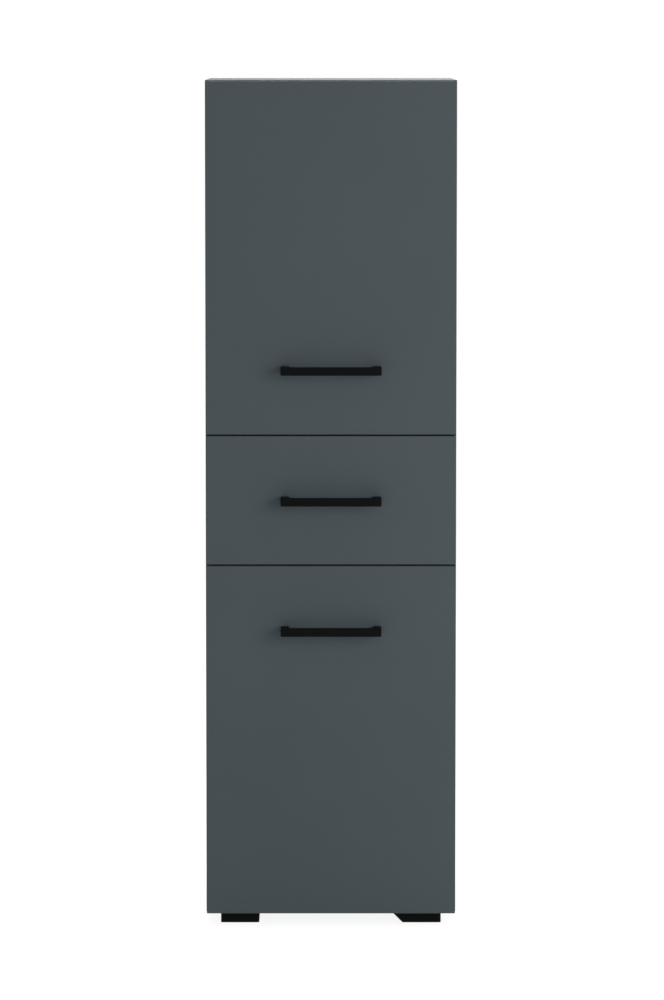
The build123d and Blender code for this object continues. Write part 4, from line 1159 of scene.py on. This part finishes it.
@dataclass
class Bumpers:
    """Soft clear bumpers, each a low dome over a short straight side.

    With the side's height s and the whole height H, the dome is r = R cos t, h = s + (H - s) sin t.

    Attributes:
        name: the piece's name.
        node: the CAD node that it replaces.
        body: the body that it moves with.
        places: X and Z of each bumper's middle.
        radius: a bumper's radius R.
        straight: the straight side's share of the height.
        flat: the radius of the dome's flat middle over R.
        sides: how many columns go round.
    """

    name: str
    node: str
    body: str
    places: list[Pair]
    radius: float = 0.0045
    straight: float = 0.35
    flat: float = 0.04
    sides: int = 40

    def build(self, shop: Workshop) -> None:
        """Lay a dome at each place on the front's inner face, looking along +Y.

        Args:
            shop: keeps the finishes.
        """
        low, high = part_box(self.node)
        tall = high[1] - low[1]
        side = tall * self.straight
        profile = [(self.radius, 0.0), (self.radius, side)]
        for t in np.linspace(0.0, math.pi / 2, 9)[1:-1]:
            profile.append((self.radius * math.cos(t), side + (tall - side) * math.sin(t)))
        surface = lathe(profile + [(self.radius * self.flat, tall)], self.sides)
        turn = axes_matrix(BACKWARDS)
        turned = [surface.moved(turn, (x, low[1], z)) for x, z in self.places]
        piece = Surface.joined(turned).piece(self.name)
        shop.dress(piece, SOFT_CLEAR, self.body, self.node)


@dataclass
class Carcass:
    """The boards, the back and the loose fittings inside, all on the fixed body.

    Attributes:
        sides: the two side boards.
        level_boards: the boards between them.
        shelves: the loose shelves.
        side_end: the sides are raw below this height.
        shelf_rear: the shelves are raw behind this depth.
        shelf_end: the shelves are raw further out than this to either side.
        back_face: the back is bare behind this depth.
        top_roughness: the top's sheen, a little smoother than the other boards.
    """

    sides: tuple[str, ...] = ("left_side_panel", "right_side_panel")
    level_boards: tuple[str, ...] = ("bottom_panel", "lower_divider", "upper_divider")
    shelves: tuple[str, ...] = ("lower_shelf", "upper_shelf")
    side_end: float = 0.0182
    shelf_rear: float = 0.1498
    shelf_end: float = 0.1573
    back_face: float = 0.1512
    top_roughness: float = 0.54

    def build(self, shop: Workshop) -> None:
        """Dress every board and the zinc, cast and beech fittings.

        Args:
            shop: keeps the finishes.
        """
        low_edge = RawEdge("Z", self.side_end, Side.BELOW)
        side = Melamine("side_slate", SLATE, raw=(RAW_REAR, low_edge))
        top = Melamine("top_slate", SLATE, self.top_roughness, raw=(RAW_REAR,))
        inner = Melamine("inner_slate", SLATE)
        shelf_edges = (
            RawEdge("Y", self.shelf_rear, Side.ABOVE),
            RawEdge("X", -self.shelf_end, Side.BELOW),
            RawEdge("X", self.shelf_end, Side.ABOVE),
        )
        shelf = Melamine("shelf_slate", SLATE, raw=shelf_edges)
        back = Fibreboard("back_hardboard", SLATE, RawEdge("Y", self.back_face, Side.ABOVE))
        for nodes, finish in (
            (self.sides, side),
            (("top_panel",), top),
            (self.level_boards, inner),
            (self.shelves, shelf),
            (("back_panel",), back),
            (("shelf_pins", "cam_bolts"), ZINC),
            (("cam_locks",), CAST_ZINC),
            (("carcass_dowels",), BEECH),
        ):
            for node in nodes:
                shop.dress_node(node, finish)


@dataclass
class Hinges:
    """The cup hinges: arms and plates on the carcass, cups and pins on the doors.

    Attributes:
        arm_screw: the screws that hold the arms on their plates.
        plate_screw: the screws that hold the plates on the side board.
        cup_screw: the screws that hold the cups in the doors.
        plate_wall: a plate's thickness under its screws' heads.
        plate_spacing: from a hinge's middle to each of its plate screws, in Z.
        arm_spacing: from a plate's middle to each of its arm screws, in Y.
        cup_spacing: from a hinge's middle to each of its cup screws, in Z.
        door_inset: from a door's end to the middle of its hinge.
    """

    arm_screw: ScrewKind = ScrewKind(0.0036, 0.0018, 0.0025, 0.007, HeadForm.FLAT, 0.001)
    plate_screw: ScrewKind = ScrewKind(0.004, 0.002, 0.0025, 0.0134, HeadForm.PAN, 0.0016)
    cup_screw: ScrewKind = ScrewKind(0.0034, 0.0016, 0.00175, 0.011, HeadForm.PAN, 0.0014)
    plate_wall: float = 0.0024
    plate_spacing: float = 0.016
    arm_spacing: float = 0.009
    cup_spacing: float = 0.0225
    door_inset: float = 0.085

    def heights(self, panel: str) -> list[float]:
        """The heights of a door's two hinges, as far from its lower as from its upper end."""
        low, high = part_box(panel)
        return [low[2] + self.door_inset, high[2] - self.door_inset]

    def build(self, shop: Workshop) -> None:
        """Dress the pressed parts and make all hinge screws.

        Args:
            shop: keeps the finishes.
        """
        shop.dress_node("hinge_arms", NICKEL)
        shop.dress_node("hinge_plates", NICKEL)
        low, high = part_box("hinge_plates")
        plate_x = low[0] + self.plate_wall
        plate_y = (low[1] + high[1]) / 2
        arm_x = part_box("hinge_screws")[1][0] - self.arm_screw.head
        seats: list[Seat] = []
        for panel in ("lower_door_panel", "upper_door_panel"):
            for z in self.heights(panel):
                for sign in (-1.0, 1.0):
                    plate = (plate_x, plate_y, z + sign * self.plate_spacing)
                    seats.append((self.plate_screw, plate, RIGHTWARDS))
                    arm = (arm_x, plate_y + sign * self.arm_spacing, z)
                    seats.append((self.arm_screw, arm, RIGHTWARDS))
        ScrewSet("hinge_screw_set", "hinge_screws", "carcass", seats).build(shop)
        for level in ("lower", "upper"):
            self.build_cups(shop, level)

    def build_cups(self, shop: Workshop, level: str) -> None:
        """Dress one door's cups and pins and make their screws.

        Args:
            shop: keeps the finishes.
            level: lower or upper.
        """
        body = f"{level}_door"
        shop.dress_node(f"{level}_hinge_cups", NICKEL)
        shop.dress_node(f"{level}_hinge_pins", ZINC)
        low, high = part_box(f"{level}_cup_screws")
        x = (low[0] + high[0]) / 2
        seat = high[1] - self.cup_screw.head
        seats: list[Seat] = []
        for z in self.heights(f"{level}_door_panel"):
            for sign in (-1.0, 1.0):
                seats.append((self.cup_screw, (x, seat, z + sign * self.cup_spacing), BACKWARDS))
        ScrewSet(f"{level}_cup_screw_set", f"{level}_cup_screws", body, seats).build(shop)


@dataclass
class Front:
    """A door or the drawer's front with its pull, its pull's screws and its bumpers.

    Attributes:
        body: the body that all of it moves with.
        panel: the board's node.
        pull: the pull's node.
        screws: the node of the pull's screws.
        bumpers: the bumpers' node.
        bumper_sides: the sides with bumpers, -1 for the left and 1 for the right.
        bumper_inset: from the board's lower and upper ends to its bumpers.
        bumper_x: from the middle to the bumpers on each side.
        screw: the kind of the pull's screws.
    """

    body: str
    panel: str
    pull: str
    screws: str
    bumpers: str
    bumper_sides: tuple[float, ...] = (1.0,)
    bumper_inset: float = 0.018
    bumper_x: float = 0.167
    screw: ScrewKind = ScrewKind(0.0042, 0.0026, 0.002, 0.025, HeadForm.PAN, 0.0007)

    def build(self, shop: Workshop) -> None:
        """Dress the panel and make its pull, screws and bumpers.

        Args:
            shop: keeps the finishes.
        """
        low, high = (np.asarray(corner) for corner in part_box(self.panel))
        centre, half = (low + high) / 2, (high - low) / 2
        box = (float(centre[0]), float(centre[2]), float(half[0]), float(half[2]))
        shop.dress_node(self.panel, Melamine(f"{self.body}_slate", SLATE, joint_box=box))
        Pull(f"{self.body}_pull", self.pull, self.body).build(shop)
        seat_low, seat_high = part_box(self.screws)
        x = seat_high[0] - self.screw.head_radius
        y = seat_high[1] - self.screw.head
        z = (seat_low[2] + seat_high[2]) / 2
        seats = [(self.screw, (side * x, y, z), BACKWARDS) for side in (-1.0, 1.0)]
        ScrewSet(f"{self.body}_pull_screw_set", self.screws, self.body, seats).build(shop)
        heights = (low[2] + self.bumper_inset, high[2] - self.bumper_inset)
        places = [(side * self.bumper_x, z) for side in self.bumper_sides for z in heights]
        Bumpers(f"{self.body}_bumper_set", self.bumpers, self.body, places).build(shop)


@dataclass
class DrawerBox:
    """The drawer's box, its runners and the rollers on both sides.

    Attributes:
        back_screw: the screws through the sides into the back.
        under_screw: the screws up through the drawer's profiles into its sides.
        runner_screw: the screws through the cabinet's channels.
        back_screw_rise: how far they lie above and below the side's middle.
        under_screw_inset: from a side's ends to the screws under it.
        screws_per_channel: how many screws hold one channel.
        boards: the box's thick boards.
    """

    back_screw: ScrewKind = ScrewKind(0.004, 0.003, 0.0025, 0.037, HeadForm.FLAT, 0.0022)
    under_screw: ScrewKind = ScrewKind(0.0034, 0.0015, 0.0018, 0.0102, HeadForm.PAN, 0.0014)
    runner_screw: ScrewKind = ScrewKind(0.0034, 0.0012, 0.0018, 0.012, HeadForm.SUNK, 0.0014)
    back_screw_rise: float = 0.03
    under_screw_inset: float = 0.045
    screws_per_channel: int = 3
    boards: tuple[str, ...] = ("drawer_left_side", "drawer_right_side", "drawer_back")

    def build(self, shop: Workshop) -> None:
        """Dress the box and the runners and make the rollers and screws.

        Args:
            shop: keeps the finishes.
        """
        low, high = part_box("drawer_bottom")
        under = RawEdge("Z", (low[2] + high[2]) / 2, Side.BELOW)
        for nodes, finish in (
            (self.boards, DRAWER_FILM),
            (("drawer_bottom",), Fibreboard("drawer_hardboard", DRAWER_GREY, under)),
            (("left_cabinet_runner", "right_cabinet_runner"), ENAMEL),
            (("left_drawer_runner", "right_drawer_runner"), ENAMEL),
            (("front_roller_axles", "rear_roller_axles", "drawer_cam_bolts"), ZINC),
            (("drawer_cam_locks",), CAST_ZINC),
            (("drawer_dowels",), BEECH),
        ):
            for node in nodes:
                shop.dress_node(node, finish)
        for side in ("left", "right"):
            for end in ("front", "rear"):
                name = f"{side}_{end}_roller"
                Roller(f"{name}_wheel", name, f"{name}_body").build(shop)
        self.build_box_screws(shop)
        self.build_channel_screws(shop)

    def build_box_screws(self, shop: Workshop) -> None:
        """Make the screws into the drawer's back and those under its sides.

        Args:
            shop: keeps the finishes.
        """
        low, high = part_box("drawer_left_side")
        under_x, middle_z = (low[0] + high[0]) / 2, (low[2] + high[2]) / 2
        back_low, back_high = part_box("drawer_back")
        back_y = (back_low[1] + back_high[1]) / 2
        under_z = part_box("left_drawer_runner")[0][2]
        outer = abs(low[0]) - self.back_screw.head
        ends = (low[1] + self.under_screw_inset, high[1] - self.under_screw_inset)
        seats: list[Seat] = []
        for side in (-1.0, 1.0):
            for sign in (-1.0, 1.0):
                place = (side * outer, back_y, middle_z + sign * self.back_screw_rise)
                seats.append((self.back_screw, place, (side, 0.0, 0.0)))
            for y in ends:
                seats.append((self.under_screw, (-side * under_x, y, under_z), DOWNWARDS))
        ScrewSet("drawer_screw_set", "drawer_screws", "drawer", seats).build(shop)

    def build_channel_screws(self, shop: Workshop) -> None:
        """Make the screws through the cabinet's channels, evenly spaced on each side.

        Args:
            shop: keeps the finishes.
        """
        low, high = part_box("cabinet_runner_screws")
        inner = abs(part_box("left_cabinet_runner")[0][0])
        z = (low[2] + high[2]) / 2
        margin = self.runner_screw.head_radius
        seats: list[Seat] = []
        for side in (-1.0, 1.0):
            for y in np.linspace(low[1] + margin, high[1] - margin, self.screws_per_channel):
                place = (side * inner, float(y), z)
                seats.append((self.runner_screw, place, (-side, 0.0, 0.0)))
        ScrewSet("channel_screw_set", "cabinet_runner_screws", "carcass", seats).build(shop)


@dataclass
class Feet:
    """The moulded feet and the two screws of each, whose heads sit up inside its pockets.

    Attributes:
        along_x: each foot's node, and whether its screws lie along X.
        base: the side of a foot's square base.
        screw_offset: from the foot's middle to each screw.
        screw: the kind of screw.
    """

    along_x: tuple[tuple[str, bool], ...] = (
        ("front_right_foot", True),
        ("rear_right_foot", False),
        ("rear_left_foot", True),
        ("front_left_foot", False),
    )
    base: float = 0.054
    screw_offset: float = 0.01275
    screw: ScrewKind = ScrewKind(0.004, 0.0025, 0.002, 0.014, HeadForm.PAN, 0.0016)

    def centre(self, node: str) -> Pair:
        """The middle of a foot's base: half a base from its straight sides, which face outwards.

        Args:
            node: the foot.

        Returns:
            Its X and Y.
        """
        low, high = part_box(node)
        half = self.base / 2
        x, y = (high[i] - half if low[i] > 0 else low[i] + half for i in (0, 1))
        return x, y

    def build(self, shop: Workshop) -> None:
        """Dress the feet and make their screws, which look down.

        Args:
            shop: keeps the finishes.
        """
        seat_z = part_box("foot_screws")[0][2] + self.screw.head
        seats: list[Seat] = []
        for node, along_x in self.along_x:
            shop.dress_node(node, FOOT_BLACK)
            x, y = self.centre(node)
            for offset in (-self.screw_offset, self.screw_offset):
                place = (x + offset, y, seat_z) if along_x else (x, y + offset, seat_z)
                seats.append((self.screw, place, DOWNWARDS))
        ScrewSet("foot_screw_set", "foot_screws", "carcass", seats).build(shop)


# Studio


@dataclass(frozen=True)
class Lamp:
    """One soft area light.

    Attributes:
        name: the light's name.
        place: where it stands.
        aim: what it looks at.
        width: its width in metres.
        height: its height in metres.
        watts: its power.
        colour: its colour.
    """

    name: str
    place: Vector3
    aim: Vector3
    width: float
    height: float
    watts: float
    colour: Vector3 = (1.0, 1.0, 1.0)

    def build(self) -> None:
        """Add the light and turn it towards its aim."""
        data = bpy.data.lights.new(self.name, "AREA")
        data.shape = "RECTANGLE"
        data.size = self.width
        data.size_y = self.height
        data.energy = self.watts
        data.color = self.colour
        lamp = bpy.data.objects.new(self.name, data)
        bpy.context.scene.collection.objects.link(lamp)
        aim_at(lamp, self.place, self.aim)


def aim_at(thing: bpy.types.Object, place: Vector3, aim: Vector3) -> None:
    """Put an object at a place with its -Z axis towards another.

    Args:
        thing: the object.
        place: where it goes.
        aim: what it looks at.
    """
    thing.location = place
    direction = Vector(aim) - Vector(place)
    thing.rotation_euler = direction.to_track_quat("-Z", "Y").to_euler()


@dataclass
class Studio:
    """The camera at the photograph's angle, soft lights and a pale seamless floor.

    Attributes:
        camera_place: where the camera stands.
        pitch_degrees: how far it looks down.
        lens: its focal length in millimetres.
        shift_x: its sideways shift.
        shift_y: its shift down.
        lamps: the soft lights.
        light_level: the surround's strength as a light.
        white_level: its strength where it is seen.
        floor_front: where the floor starts, towards the camera.
        floor_bend: where it starts to rise.
        bend_radius: the radius of the rise.
        wall_top: the height of the wall.
        half_width: half of the floor's width.
    """

    camera_place: Vector3 = (-0.0079, -5.636, 1.245)
    pitch_degrees: float = 4.14
    lens: float = 143.02
    shift_x: float = 0.0067
    shift_y: float = -0.175
    light_level: float = 0.37
    white_level: float = 1.05
    floor_front: float = -9.0
    floor_bend: float = 4.0
    bend_radius: float = 2.0
    wall_top: float = 9.0
    half_width: float = 9.0
    lamps: tuple[Lamp, ...] = field(
        default_factory=lambda: (
            Lamp("key", (1.7, -1.9, 1.05), (0.0, 0.0, 0.75), 1.4, 1.4, 32.0),
            Lamp("fill", (-2.3, -3.0, 0.8), (0.0, 0.0, 0.6), 1.8, 1.4, 4.0),
            Lamp("rear", (0.8, 3.4, 2.6), (0.0, 0.0, 0.6), 2.0, 1.6, 22.0),
            Lamp("overhead", (0.0, 0.6, 2.6), (0.0, 0.15, 1.18), 1.4, 0.8, 34.0),
        )
    )

    def camera(self) -> None:
        """Add the camera. Its pitch and shift share the photograph's low framing between them."""
        data = bpy.data.cameras.new("camera")
        data.sensor_width = 36.0
        data.lens = self.lens
        data.shift_x = self.shift_x
        data.shift_y = self.shift_y
        camera = bpy.data.objects.new("camera", data)
        camera.location = self.camera_place
        camera.rotation_euler = (math.radians(90.0 - self.pitch_degrees), 0.0, 0.0)
        bpy.context.scene.collection.objects.link(camera)
        bpy.context.scene.camera = camera

    def world(self) -> None:
        """Add a plain white surround that lights softly and looks white where it is seen."""
        world = bpy.data.worlds.new("surround")
        bpy.context.scene.world = world
        world.use_nodes = True
        tree = world.node_tree
        back = tree.nodes["Background"]
        back.inputs["Color"].default_value = (1.0, 1.0, 1.0, 1.0)
        level = tree.nodes.new("ShaderNodeMapRange")
        level.inputs["To Min"].default_value = self.light_level
        level.inputs["To Max"].default_value = self.white_level
        tree.links.new(direct_rays(tree), level.inputs["Value"])
        tree.links.new(level.outputs["Result"], back.inputs["Strength"])

    def floor(self) -> None:
        """Add a seamless sweep: flat under the cabinet, then a quarter circle up into a wall.

        Its profile is z = 0 up to y0, then (y0 + r sin t, r - r cos t), then straight up.
        """
        bend, radius = self.floor_bend, self.bend_radius
        rise = arc((bend, radius), radius, -90.0, 0.0, 17)
        ends = [[self.floor_front, 0.0]], [[bend + radius, self.wall_top]]
        line = np.concatenate([ends[0], rise, ends[1]])
        x, y = np.meshgrid([-self.half_width, self.half_width], line[:, 0])
        points = np.stack([x, y, np.broadcast_to(line[:, 1:], x.shape)], axis=-1)
        sweep = Surface.grid(points, wrap=False).piece("studio_sweep", smooth_angle=60.0)
        sweep.data.materials.append(Stage().build())

    def build(self) -> None:
        """Set the view transform and make the whole studio."""
        bpy.context.scene.view_settings.view_transform = "Standard"
        self.camera()
        self.world()
        self.floor()
        for lamp in self.lamps:
            lamp.build()


def main() -> None:
    """Build the studio and every sub-assembly in order."""
    logging.basicConfig(level=logging.INFO, format="%(name)s: %(message)s")
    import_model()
    shop = Workshop()
    Studio().build()
    fronts = [
        Front(
            f"{level}_door",
            f"{level}_door_panel",
            f"{level}_door_handle",
            f"{level}_handle_screws",
            f"{level}_door_bumpers",
        )
        for level in ("upper", "lower")
    ]
    drawer_front = Front(
        "drawer",
        "drawer_front",
        "drawer_handle",
        "drawer_handle_screws",
        "drawer_bumpers",
        bumper_sides=(-1.0, 1.0),
    )
    for part in (Carcass(), Hinges(), *fronts, drawer_front, DrawerBox(), Feet()):
        part.build(shop)


if __name__ == "__main__":
    main()
